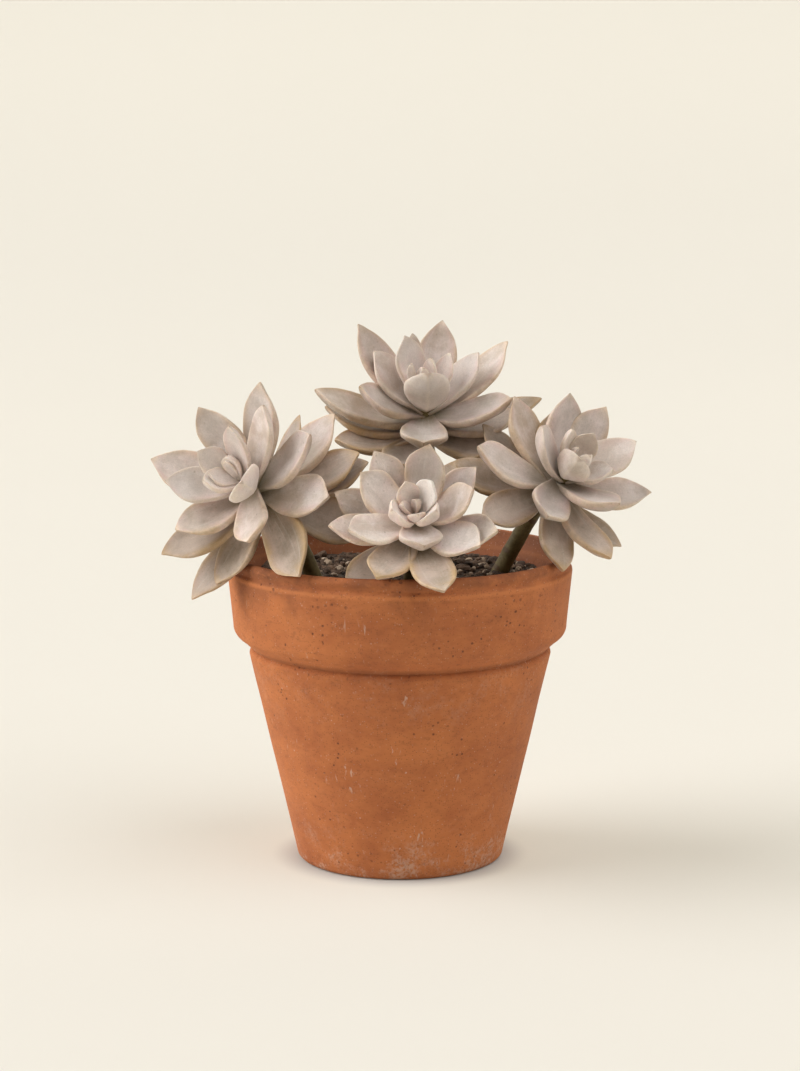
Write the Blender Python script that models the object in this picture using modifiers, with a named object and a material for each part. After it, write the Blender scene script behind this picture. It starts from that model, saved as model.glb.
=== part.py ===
"""Potted ghost-plant succulent: a clay pot, potting grit, four leaning stems and four rosettes of
thick pointed leaves.

Metres, +Z up, the pot standing on z = 0 with its axis on x = y = 0 and the front towards -Y.
Sizes in the constants and tables are millimetres and degrees.
"""
import math
from collections import namedtuple

import bmesh
import bpy
from mathutils import Euler, Matrix, Vector
from mathutils.bvhtree import BVHTree

MM = 0.001

# ---------------------------------------------------------------- clay pot (mm)
POT_HEIGHT = 135.6
RIM_RADIUS = 75.0            # outside of the collar near its top
RIM_MOUTH_RADIUS = 71.4      # inside edge of the rim
LIP_ROUND = 2.0              # outer edge of the lip
LIP_INNER_ROUND = 1.2
COLLAR_BOTTOM = 104.0        # where the collar starts to turn in
COLLAR_LOW_RADIUS = 72.6
COLLAR_ROUND = 4.5
WAIST_HEIGHT = 94.6          # where the collar meets the cone
WAIST_RADIUS = 65.7
FOOT_RADIUS = 45.3
FOOT_ROUND = 2.6
WALL = 6.2
FLOOR_THICK = 9.0
POT_SEGMENTS = 64

# ---------------------------------------------------------------- potting grit (mm)
SOIL_LEVEL = 123.4
SOIL_RADIUS = 65.65          # edge of its top, a hair inside the wall
SOIL_CROWN = 2.0             # how much the middle stands above the edge
SOIL_LUMP = 1.1
SOIL_RINGS = 7
SOIL_SEGMENTS = 48

# ---------------------------------------------------------------- stems (mm)
STEM_RADIUS = 3.7            # at the foot
NECK_RADIUS = 3.2            # under the rosette
CORE_RADIUS = 2.7            # inside the rosette
STEM_DEPTH = 9.0             # how far a stem is set into the grit
STEM_STEPS = 10
NECK_DROP = 17.0             # the neck, core and end, below the rosette's centre
CORE_DROP = 11.0
END_DROP = 5.5

GAP = 0.42                   # air left between any two solids, in mm

# A leaf: turn about the rosette's axis and lean away from it, in degrees; length and width in mm;
# down is how far below the rosette's centre it leaves the stem.
Leaf = namedtuple("Leaf", "name turn lean length width down")

# A rosette: centre of its crown, compass heading and elevation of its axis, the stem's foot in the
# grit, a point the stem bends through, the leaves fused in the heart and the free leaves.
Rosette = namedtuple("Rosette", "name centre heading elevation foot bend heart leaves")

LEFT = Rosette(
    "left", (-66, -38, 171), 228, 29, (-33, -15), (-45, -20, 150),
    heart=(
        Leaf("bud", 180, 10, 15, 8, -1),
        Leaf("a", 60, 38, 27, 13, 1),
        Leaf("b", 135, 34, 22, 12, 0),
        Leaf("c", 215, 26, 19, 11, 0),
        Leaf("d", 332, 40, 22, 12, 1),
        Leaf("e", 350, 64, 20, 12, 3),
        Leaf("f", 176, 54, 36, 17, 5),
        Leaf("g", 44, 58, 38, 17, 5),
    ),
    leaves=(
        Leaf("front", 280, 76, 33, 18, 6),
        Leaf("upper_left", 108, 52, 42, 18, 8),
        Leaf("upper_right", 14, 76, 40, 19, 8),
        Leaf("lower_left", 209, 66, 38, 19, 9),
        Leaf("top", 64, 66, 45, 19, 7),
        Leaf("far_left", 158, 56, 48, 19, 10),
        Leaf("right", 339, 91, 41, 20, 10),
        Leaf("back_right", 42, 100, 46, 20, 12),
        Leaf("hanging_right", 295, 91, 51, 21, 12),
        Leaf("lower_left_outer", 209, 72, 50, 20, 14),
        Leaf("hanging_left", 234, 94, 43, 19, 13),
        Leaf("hanging_left_outer", 226, 89, 54, 19, 16),
        Leaf("far_right", 15, 104, 45, 20, 15),
        Leaf("low_right", 334, 118, 49, 20, 18),
    ))

FRONT = Rosette(
    "front", (6, -58, 159), 268, 44, (5, -12), (5, -34, 138),
    heart=(
        Leaf("bud", 240, 30, 13, 8, -3),
        Leaf("a", 30, 18, 22, 13, 0),
        Leaf("b", 148, 12, 22, 12, 0),
        Leaf("c", 204, 35, 17, 12, 0),
        Leaf("d", 347, 41, 17, 11, 0),
        Leaf("e", 282, 65, 22, 18, 2),
        Leaf("f", 207, 64, 34, 17, 4),
    ),
    leaves=(
        Leaf("right", 323, 71, 36, 18, 4),
        Leaf("upper_right", 8, 52, 32, 17, 5),
        Leaf("top", 74, 46, 35, 18, 6),
        Leaf("upper_left", 146, 58, 32, 18, 6),
        Leaf("hanging_left", 243, 77, 36, 18, 7),
        Leaf("upper_left_outer", 123, 56, 37, 17, 9),
        Leaf("right_outer", 340, 67, 40, 18, 9),
        Leaf("hanging_right", 286, 71, 47, 18, 8),
        Leaf("left", 192, 69, 39, 17, 9),
        Leaf("upper_right_outer", 38, 64, 37, 16, 10),
        Leaf("far_left", 155, 78, 38, 17, 12),
        Leaf("hanging_left_outer", 222, 92, 39, 18, 12),
    ))

TOP = Rosette(
    "top", (11, 8, 198), 272, 61, (14, 20), (17, 22, 160),
    heart=(
        Leaf("bud", 190, 14, 17, 9, -2),
        Leaf("a", 278, 28, 27, 19, 1),
        Leaf("b", 47, 36, 27, 13, 1),
        Leaf("c", 128, 30, 31, 14, 0),
        Leaf("d", 95, 26, 28, 13, 2),
        Leaf("e", 32, 52, 35, 17, 4),
        Leaf("f", 150, 50, 35, 17, 4),
    ),
    leaves=(
        Leaf("front", 268, 78, 30, 21, 6),
        Leaf("upper_left", 142, 50, 48, 18, 8),
        Leaf("upper_back", 78, 52, 46, 18, 8),
        Leaf("left", 190, 58, 35, 18, 6),
        Leaf("right", 345, 66, 42, 20, 7),
        Leaf("far_left", 179, 72, 51, 20, 10),
        Leaf("upper_right", 31, 56, 51, 17, 10),
        Leaf("lower_left", 172, 81, 45, 20, 14),
        Leaf("lower_right", 356, 77, 42, 19, 12),
        Leaf("far_right", 15, 82, 54, 19, 14),
        Leaf("under_left", 196, 86, 41, 20, 15),
        Leaf("under_right", 330, 84, 36, 20, 15),
        Leaf("under_front", 243, 84, 32, 19, 16),
    ))

RIGHT = Rosette(
    "right", (71, -20, 172), 312, 42, (39, 2), (54, -3, 149),
    heart=(
        Leaf("bud", 320, 12, 13, 9, -3),
        Leaf("a", 330, 34, 24, 13, 1),
        Leaf("b", 150, 32, 21, 12, 0),
        Leaf("c", 68, 36, 21, 13, 0),
        Leaf("d", 275, 28, 17, 16, 0),
        Leaf("e", 168, 50, 30, 17, 4),
        Leaf("f", 30, 50, 36, 18, 4),
    ),
    leaves=(
        Leaf("front", 250, 80, 32, 19, 6),
        Leaf("lower_right", 306, 52, 35, 19, 7),
        Leaf("top", 104, 54, 39, 18, 7),
        Leaf("upper_right", 71, 50, 41, 17, 9),
        Leaf("left", 180, 85, 42, 19, 9),
        Leaf("upper_left", 128, 77, 43, 19, 10),
        Leaf("hanging_right", 302, 82, 43, 18, 10),
        Leaf("far_right", 3, 68, 43, 17, 11),
        Leaf("hanging_front", 278, 95, 42, 17, 12),
        Leaf("hanging_left", 218, 99, 41, 18, 13),
        Leaf("under_left", 180, 94, 46, 19, 16),
    ))

ROSETTES = (LEFT, FRONT, TOP, RIGHT)

# Stations along a leaf, base to tip: (place along, half width, thickness), each as a share of the
# leaf's length, half width and thickness.
LEAF_STATIONS = (
    (0.00, 0.36, 0.60),
    (0.15, 0.54, 0.84),
    (0.33, 0.80, 1.00),
    (0.50, 0.97, 1.00),
    (0.65, 1.00, 0.92),
    (0.79, 0.81, 0.76),
    (0.90, 0.47, 0.54),
    (0.965, 0.19, 0.32),
)
# Outline across a leaf, anticlockwise from the right edge: a shallow dish above, a keel beneath.
LEAF_SECTION = (
    (1.00, 0.12), (0.62, 0.36), (0.00, 0.22), (-0.62, 0.36),
    (-1.00, 0.12), (-0.60, -0.42), (0.00, -0.70), (0.60, -0.42),
)
THICK_SHARE = 0.31           # leaf thickness over leaf width
BOW = 0.055                  # sag of the middle below the chord, over length
TIP_LIFT = 0.02              # rise of the point above the chord, over length
HEART_START = 0.4            # a heart leaf starts this far from the axis, in mm
SMOOTH_ANGLE = 38            # edges sharper than this stay crisp


def wipe():
    """Start from an empty scene."""
    for item in list(bpy.data.objects):
        bpy.data.objects.remove(item, do_unlink=True)


def make_collection(name):
    collection = bpy.data.collections.new(name)
    bpy.context.scene.collection.children.link(collection)
    return collection


def make_material(name, colour, roughness):
    material = bpy.data.materials.new(name)
    material.use_nodes = True
    shader = next(n for n in material.node_tree.nodes if n.type == "BSDF_PRINCIPLED")
    shader.inputs["Base Color"].default_value = (*colour, 1.0)
    shader.inputs["Roughness"].default_value = roughness
    shader.inputs["Metallic"].default_value = 0.0
    material.diffuse_color = (*colour, 1.0)
    return material


def make_object(name, data, collection, parent=None):
    """Put a mesh or curve, or an empty for None, into a collection."""
    item = bpy.data.objects.new(name, data)
    item.parent = parent
    collection.objects.link(item)
    return item


def make_cutter(item):
    """Mark an object as a tool that only cuts."""
    item.hide_render = True
    item.display_type = "WIRE"
    return item


def evaluated_mesh(item):
    """The item's own mesh with its modifiers applied, in its local frame."""
    graph = bpy.context.evaluated_depsgraph_get()
    return bpy.data.meshes.new_from_object(item.evaluated_get(graph))


def apply_modifiers(item):
    mesh = evaluated_mesh(item)
    item.modifiers.clear()
    item.data = mesh


def discard(items):
    for item in items:
        bpy.data.objects.remove(item, do_unlink=True)


def boolean(item, other, operation):
    """Apply one exact Boolean to the item's own mesh."""
    step = item.modifiers.new("step", "BOOLEAN")
    step.operation = operation
    step.solver = "EXACT"
    step.object = other
    apply_modifiers(item)


def tree_of(item):
    """A search tree of the item's faces, in world space."""
    place = item.matrix_world
    mesh = item.data
    return BVHTree.FromPolygons([place @ v.co for v in mesh.vertices],
                                [p.vertices for p in mesh.polygons])


def bodies_of(bm):
    """The connected groups of vertices, smallest first."""
    left, bodies = set(bm.verts), []
    while left:
        stack, body = [left.pop()], []
        while stack:
            vert = stack.pop()
            body.append(vert)
            for edge in vert.link_edges:
                other = edge.other_vert(vert)
                if other in left:
                    left.discard(other)
                    stack.append(other)
        bodies.append(body)
    return sorted(bodies, key=len)


def finish(item, material):
    """Weld and triangulate the item, drop any slivers cut loose from it, and shade it."""
    mesh = item.data
    bm = bmesh.new()
    bm.from_mesh(mesh)
    bmesh.ops.remove_doubles(bm, verts=bm.verts, dist=0.02 * MM)
    bmesh.ops.dissolve_degenerate(bm, edges=bm.edges, dist=0.01 * MM)
    bmesh.ops.triangulate(bm, faces=bm.faces)
    for body in bodies_of(bm)[:-1]:
        bmesh.ops.delete(bm, geom=body, context="VERTS")
    bmesh.ops.recalc_face_normals(bm, faces=bm.faces)
    bm.to_mesh(mesh)
    bm.free()
    mesh.materials.clear()
    mesh.materials.append(material)
    mesh.shade_smooth()
    mesh.set_sharp_from_angle(angle=math.radians(SMOOTH_ANGLE))
    return item


# ---------------------------------------------------------------- pot and grit

def arc(centre, radius, start, end, steps):
    """Points of an arc in the profile plane, angles in degrees."""
    angles = [math.radians(start + (end - start) * i / steps) for i in range(steps + 1)]
    return [(centre[0] + radius * math.cos(a), centre[1] + radius * math.sin(a)) for a in angles]


def turned(name, profile, segments, collection):
    """Screw a (radius, height) profile, run down its outer side, about Z."""
    mesh = bpy.data.meshes.new(name)
    points = [(radius * MM, 0.0, height * MM) for radius, height in profile]
    mesh.from_pydata(points, [(i, i + 1) for i in range(len(points) - 1)], [])
    item = make_object(name, mesh, collection)
    screw = item.modifiers.new("turn", "SCREW")
    screw.angle = 2 * math.pi
    screw.steps = screw.render_steps = segments
    screw.use_merge_vertices = True
    screw.merge_threshold = 0.00005
    apply_modifiers(item)
    return item


def build_pot(material, collection):
    """A tapered clay pot with a deep collar and a rounded lip."""
    inner_waist = WAIST_RADIUS - WALL
    inner_foot = FOOT_RADIUS - WALL
    lip = (RIM_RADIUS - LIP_ROUND - 0.4, POT_HEIGHT - LIP_ROUND)
    inner_lip = (RIM_MOUTH_RADIUS + LIP_INNER_ROUND, POT_HEIGHT - LIP_INNER_ROUND)
    profile = [(0.0, FLOOR_THICK), (inner_foot - 1.0, FLOOR_THICK),
               (inner_foot + 2.0, FLOOR_THICK + 2.0), (inner_waist + 1.2, WAIST_HEIGHT),
               (inner_waist + 7.1, SOIL_LEVEL - 1.0), (RIM_MOUTH_RADIUS - 1.6, POT_HEIGHT - 6.5)]
    profile += arc(inner_lip, LIP_INNER_ROUND, 180, 90, 2)
    profile += arc(lip, LIP_ROUND, 90, 20, 3)
    profile += [(RIM_RADIUS - 0.9, POT_HEIGHT - 4.0), (RIM_RADIUS - 0.2, POT_HEIGHT - 5.2)]
    profile += arc((COLLAR_LOW_RADIUS - COLLAR_ROUND, COLLAR_BOTTOM - 0.6), COLLAR_ROUND, 0, -48, 4)
    profile += [(WAIST_RADIUS + 1.0, WAIST_HEIGHT + 0.2), (WAIST_RADIUS - 0.2, WAIST_HEIGHT - 0.8)]
    profile += arc((FOOT_RADIUS - FOOT_ROUND, FOOT_ROUND), FOOT_ROUND, -8, -90, 3)
    profile.append((0.0, 0.0))
    return finish(turned("clay_pot", profile, POT_SEGMENTS, collection), material)


def soil_height(x, y):
    """Lumpy top of the grit, low at the wall."""
    radius = math.hypot(x, y)
    swell = SOIL_CROWN * max(0.0, 1.0 - (radius / 62.0) ** 2)
    lumps = (math.sin(0.31 * x + 0.7) * math.cos(0.27 * y - 0.4)
             + 0.6 * math.sin(0.71 * x - 0.33 * y) + 0.4 * math.cos(0.9 * y + 0.55 * x))
    return SOIL_LEVEL + swell + 0.5 * SOIL_LUMP * lumps * min(1.0, (66.0 - radius) / 8.0)


def build_soil(material, collection, sockets):
    """The grit fills the pot, with a hair of air at the wall and a socket around each stem."""
    low = FLOOR_THICK + 0.5
    inner_foot = FOOT_RADIUS - WALL
    profile = [(SOIL_RADIUS * i / SOIL_RINGS, SOIL_LEVEL) for i in range(SOIL_RINGS + 1)]
    profile += [(WAIST_RADIUS - WALL + 0.4, WAIST_HEIGHT), (inner_foot + 0.6, low + 2.4),
                (inner_foot - 1.6, low), (0.0, low)]
    soil = turned("potting_grit", profile, SOIL_SEGMENTS, collection)
    inside = (SOIL_RADIUS - 0.1) * MM
    for vert in soil.data.vertices:
        x, y, z = vert.co
        if z > (SOIL_LEVEL - 0.1) * MM and math.hypot(x, y) < inside:
            vert.co.z = soil_height(x / MM, y / MM) * MM
    for socket in sockets:
        boolean(soil, socket, "DIFFERENCE")
    return finish(soil, material)


# ---------------------------------------------------------------- stems

def tube(name, path, radii, collection, parent=None):
    """A closed tapering tube: a bevelled curve made a mesh, its caps welded on."""
    curve = bpy.data.curves.new(name, "CURVE")
    curve.dimensions = "3D"
    curve.bevel_depth = radii[0] * MM
    curve.bevel_resolution = 3
    curve.use_fill_caps = True
    spline = curve.splines.new("POLY")
    spline.points.add(len(path) - 1)
    for point, place, radius in zip(spline.points, path, radii):
        point.co = (*(Vector(place) * MM), 1.0)
        point.radius = radius / radii[0]
    guide = make_object("guide", curve, collection)
    mesh = evaluated_mesh(guide)
    place = guide.matrix_world.copy()
    discard([guide])
    bm = bmesh.new()
    bm.from_mesh(mesh)
    bmesh.ops.remove_doubles(bm, verts=bm.verts, dist=0.01 * MM)
    bmesh.ops.recalc_face_normals(bm, faces=bm.faces)
    bm.to_mesh(mesh)
    bm.free()
    item = make_object(name, mesh, collection, parent)
    item.matrix_local = place
    return item


def axis_of(rosette):
    heading, rise = math.radians(rosette.heading), math.radians(rosette.elevation)
    return Vector((math.cos(heading) * math.cos(rise), math.sin(heading) * math.cos(rise),
                   math.sin(rise)))


def stem_path(rosette):
    """Points from the foot in the grit up through the bend to just under the rosette's heart."""
    centre, axis = Vector(rosette.centre), axis_of(rosette)
    foot = Vector((*rosette.foot, soil_height(*rosette.foot) - STEM_DEPTH))
    bend, neck = Vector(rosette.bend), centre - NECK_DROP * axis
    path = []
    for i in range(STEM_STEPS + 1):
        t = i / STEM_STEPS
        path.append((1 - t) ** 2 * foot + 2 * t * (1 - t) * bend + t ** 2 * neck)
    return path + [centre - CORE_DROP * axis, centre - END_DROP * axis]


def build_stem(name, rosette, collection, grow=0.0):
    """One stem; grow swells it by that many millimetres."""
    taper = (STEM_RADIUS - NECK_RADIUS) / STEM_STEPS
    radii = [STEM_RADIUS - taper * i for i in range(STEM_STEPS + 1)]
    radii += [CORE_RADIUS, CORE_RADIUS - 0.3]
    return tube(name, stem_path(rosette), [r + grow for r in radii], collection)


# ---------------------------------------------------------------- rosettes

def build_crown(rosette, collection):
    """An empty at the rosette's centre: Z along its axis, X across it on the +X side."""
    axis = axis_of(rosette)
    across = Vector((1.0, 0.0, 0.0))
    across = (across - across.dot(axis) * axis).normalized()
    crown = make_object(rosette.name + "_crown", None, collection)
    turn = Matrix((across, axis.cross(across), axis)).transposed().to_4x4()
    crown.matrix_world = Matrix.Translation(Vector(rosette.centre) * MM) @ turn
    bpy.context.view_layer.update()
    return crown


def leaf_mesh(name, leaf, start, grow=0.0):
    """A leaf lofted along +Y with its face up, from its foot at y = start to its point.

    Its sections change from a narrow foot to a broad dished blade and a sharp point; grow swells
    it evenly by that many millimetres.
    """
    points = []
    thick = THICK_SHARE * leaf.width
    for place, half, depth in LEAF_STATIONS:
        reach = start + (leaf.length - start) * place - (grow if place == 0 else 0.0)
        sag = -BOW * leaf.length * math.sin(math.pi * place ** 0.9)
        for u, v in LEAF_SECTION:
            spread = math.hypot(u, 2.2 * v)
            x = u * half * leaf.width / 2 + 1.25 * grow * u / spread
            z = sag + v * depth * thick + 1.25 * grow * 2.2 * v / spread
            points.append(Vector((x, reach, z)) * MM)
    points.append(Vector((0.0, leaf.length + 1.6 * grow, TIP_LIFT * leaf.length)) * MM)
    count = len(LEAF_SECTION)
    end = count * (len(LEAF_STATIONS) - 1)
    faces = [tuple(range(count))]
    for row in range(0, end, count):
        for i in range(count):
            j = (i + 1) % count
            faces.append((row + i, row + j, row + count + j, row + count + i))
    faces += [(end + i, end + (i + 1) % count, len(points) - 1) for i in range(count)]
    mesh = bpy.data.meshes.new(name)
    mesh.from_pydata(points, [], faces)
    bm = bmesh.new()
    bm.from_mesh(mesh)
    bmesh.ops.recalc_face_normals(bm, faces=bm.faces)
    bmesh.ops.triangulate(bm, faces=bm.faces)
    bm.to_mesh(mesh)
    bm.free()
    return mesh


def place_leaf(name, leaf, crown, collection, start=None, grow=0.0):
    """Set a leaf on its crown, turned about the axis and leaning away from it."""
    lean = math.radians(leaf.lean)
    if start is None:
        start = (CORE_RADIUS + GAP) / max(0.35, math.sin(lean)) + 0.3 * abs(math.cos(lean))
    item = make_object(name, leaf_mesh(name, leaf, start, grow), collection, crown)
    item.location = (0.0, 0.0, -leaf.down * MM)
    item.rotation_euler = Euler((math.pi / 2 - lean, 0.0, math.radians(leaf.turn) - math.pi / 2))
    bpy.context.view_layer.update()
    return item


def build_heart(rosette, crown, collection, tools):
    """The bud and the young leaves crowded round it, grown together at the base."""
    core = [(0.0, 0.0, -5.0), (0.0, 0.0, -2.0), (0.0, 0.0, 1.5)]
    radii = (CORE_RADIUS, CORE_RADIUS, 1.6)
    heart = tube(rosette.name + "_rosette_heart", core, radii, collection, crown)
    bpy.context.view_layer.update()
    for leaf in rosette.heart:
        piece = make_cutter(place_leaf("piece", leaf, crown, tools, HEART_START))
        boolean(heart, piece, "UNION")
        discard([piece])
    return heart


def carve(item, cutters):
    """Leave clear air round every cutter that the item meets."""
    for cutter, tree in cutters:
        if tree_of(item).overlap(tree):
            boolean(item, cutter, "DIFFERENCE")


def main():
    wipe()
    plant = make_collection("potted_succulent")
    tools = make_collection("cutters")
    clay = make_material("terracotta", (0.42, 0.17, 0.08), 0.85)
    grit = make_material("potting_grit", (0.03, 0.018, 0.011), 0.95)
    flesh = make_material("leaf_skin", (0.40, 0.34, 0.30), 0.6)
    young = make_material("young_leaf_skin", (0.48, 0.40, 0.37), 0.6)
    bark = make_material("stem_skin", (0.16, 0.17, 0.09), 0.6)

    build_pot(clay, plant)
    stem_cutters = []
    for rosette in ROSETTES:
        finish(build_stem(rosette.name + "_stem", rosette, plant), bark)
        stem_cutters.append(make_cutter(build_stem("cutter", rosette, tools, grow=GAP)))
    build_soil(grit, plant, stem_cutters)

    crowns = {rosette.name: build_crown(rosette, plant) for rosette in ROSETTES}
    cutters = [(cutter, tree_of(cutter)) for cutter in stem_cutters]
    for rosette in ROSETTES:
        crown = crowns[rosette.name]
        heart = build_heart(rosette, crown, plant, tools)
        carve(heart, cutters[:len(ROSETTES)])
        finish(heart, young)
        for leaf in rosette.heart:
            cutter = make_cutter(place_leaf("cutter", leaf, crown, tools, HEART_START, GAP))
            cutters.append((cutter, tree_of(cutter)))

    # Inner leaves keep their whole shape, and each leaf further down gives way to those above it.
    pairs = [(leaf, rosette) for rosette in ROSETTES for leaf in rosette.leaves]
    for leaf, rosette in sorted(pairs, key=lambda pair: pair[0].down):
        crown = crowns[rosette.name]
        item = place_leaf(rosette.name + "_leaf_" + leaf.name, leaf, crown, plant)
        carve(item, cutters)
        finish(item, flesh)
        cutter = make_cutter(place_leaf("cutter", leaf, crown, tools, grow=GAP))
        cutters.append((cutter, tree_of(cutter)))
    discard([cutter for cutter, tree in cutters])
    bpy.data.collections.remove(tools)


main()
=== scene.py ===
"""A potted ghost-plant succulent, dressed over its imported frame.

Clay pot, gritty soil with grains of perlite, four leaning stems and four rosettes of thick,
powdery, pointed leaves. Sizes in the tables are millimetres and degrees; the scene is in metres.
"""
import logging
import math
import random
from dataclasses import dataclass, field
from enum import Enum
from typing import Sequence, Union

import bmesh
import bpy
import numpy as np
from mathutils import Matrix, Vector, noise

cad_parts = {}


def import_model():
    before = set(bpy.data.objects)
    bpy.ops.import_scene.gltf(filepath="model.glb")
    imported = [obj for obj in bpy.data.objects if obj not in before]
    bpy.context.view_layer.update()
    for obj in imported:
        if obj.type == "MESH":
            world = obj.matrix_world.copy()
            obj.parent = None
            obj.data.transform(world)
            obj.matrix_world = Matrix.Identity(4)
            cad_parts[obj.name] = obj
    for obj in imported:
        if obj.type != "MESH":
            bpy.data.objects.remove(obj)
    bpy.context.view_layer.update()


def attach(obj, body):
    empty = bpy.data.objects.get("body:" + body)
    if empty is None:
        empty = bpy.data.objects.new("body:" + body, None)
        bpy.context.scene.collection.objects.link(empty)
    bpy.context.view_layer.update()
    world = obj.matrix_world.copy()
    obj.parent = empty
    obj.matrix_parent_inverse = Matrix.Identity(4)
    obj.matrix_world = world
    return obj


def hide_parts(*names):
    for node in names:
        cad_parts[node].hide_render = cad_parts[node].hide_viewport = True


LOG = logging.getLogger("succulent")
MM = 0.001
FULL_TURN = 2 * math.pi
Colour = tuple[float, float, float]
Place = tuple[float, float, float]
Socket = bpy.types.NodeSocket
Feed = Union[bpy.types.NodeSocket, float, tuple, None]


# ------------------------------------------------------------------------------ small helpers
def ease(low: float, high: float, value: np.ndarray) -> np.ndarray:
    """Smooth step from 0 at low to 1 at high.

    Args:
        low: Where the step starts.
        high: Where the step ends.
        value: Values to map.

    Returns:
        The eased values.
    """
    t = np.clip((value - low) / (high - low), 0.0, 1.0)
    return t * t * (3.0 - 2.0 * t)


def curve_through(knots: Sequence[tuple[float, float]], at: np.ndarray) -> np.ndarray:
    """Read a smooth curve through (place, value) knots without overshoot.

    Args:
        knots: Places in rising order with their values.
        at: Places to read.

    Returns:
        The values there.
    """
    xs = np.array([k[0] for k in knots])
    ys = np.array([k[1] for k in knots])
    step = np.diff(xs)
    rise = np.diff(ys) / step
    slope = np.zeros(len(xs))
    for i in range(1, len(xs) - 1):
        if rise[i - 1] * rise[i] > 0:
            slope[i] = 2 * rise[i - 1] * rise[i] / (rise[i - 1] + rise[i])
    slope[0], slope[-1] = rise[0], rise[-1]
    cell = np.clip(np.searchsorted(xs, at) - 1, 0, len(step) - 1)
    t = (at - xs[cell]) / step[cell]
    h = step[cell]
    return ((1 + 2 * t) * (1 - t) ** 2 * ys[cell] + t * (1 - t) ** 2 * h * slope[cell]
            + t * t * (3 - 2 * t) * ys[cell + 1] + t * t * (t - 1) * h * slope[cell + 1])


def capped_faces(rings: int, around: int) -> list[tuple]:
    """Faces of a closed skin: rings of points laid out one after another, with a fan at each end.

    The middles of the two fans follow the rings' own points, first the first ring's.

    Args:
        rings: Number of rings.
        around: Points in a ring.

    Returns:
        Index tuples.
    """
    faces = []
    for ring in range(rings - 1):
        a, b = ring * around, (ring + 1) * around
        for i in range(around):
            j = (i + 1) % around
            faces.append((a + i, a + j, b + j, b + i))
    first_middle, last = rings * around, (rings - 1) * around
    faces += [((i + 1) % around, i, first_middle) for i in range(around)]
    faces += [(last + i, last + (i + 1) % around, first_middle + 1) for i in range(around)]
    return faces


@dataclass
class MeshStock:
    """Points, faces and per-point values gathered for one object, in millimetres."""

    points: list = field(default_factory=list)
    faces: list = field(default_factory=list)
    values: dict = field(default_factory=dict)

    def add(self, points: np.ndarray, faces: Sequence[tuple], **values: np.ndarray) -> None:
        """Add a piece of mesh.

        Args:
            points: An array of points.
            faces: Faces that index those points.
            **values: Per-point values, by attribute name.
        """
        base = len(self.points)
        self.points.extend(map(tuple, points))
        self.faces.extend(tuple(base + i for i in face) for face in faces)
        for name, column in values.items():
            self.values.setdefault(name, []).extend(map(float, column))

    def build(self, name: str, finish: bpy.types.Material, slot: str,
              nodes: Sequence[str] = (), faceted: bool = False) -> None:
        """Make the object, let it ride on the plant's one body and stand for its CAD nodes.

        Args:
            name: The object's name.
            finish: Its material.
            slot: The record's material slot; not used.
            nodes: CAD nodes that it replaces.
            faceted: Whether its faces stay flat, as on broken grit.
        """
        mesh = bpy.data.meshes.new(name)
        mesh.from_pydata([(x * MM, y * MM, z * MM) for x, y, z in self.points], [], self.faces)
        for key, column in self.values.items():
            layer = mesh.attributes.new(key, "FLOAT", "POINT")
            layer.data.foreach_set("value", column)
        if faceted:
            mesh.shade_flat()
        else:
            mesh.shade_smooth()
        mesh.materials.append(finish)
        item = bpy.data.objects.new(name, mesh)
        bpy.context.scene.collection.objects.link(item)
        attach(item, "root")
        if nodes:
            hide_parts(*nodes)
        LOG.info("%s: %d points", name, len(self.points))


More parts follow.
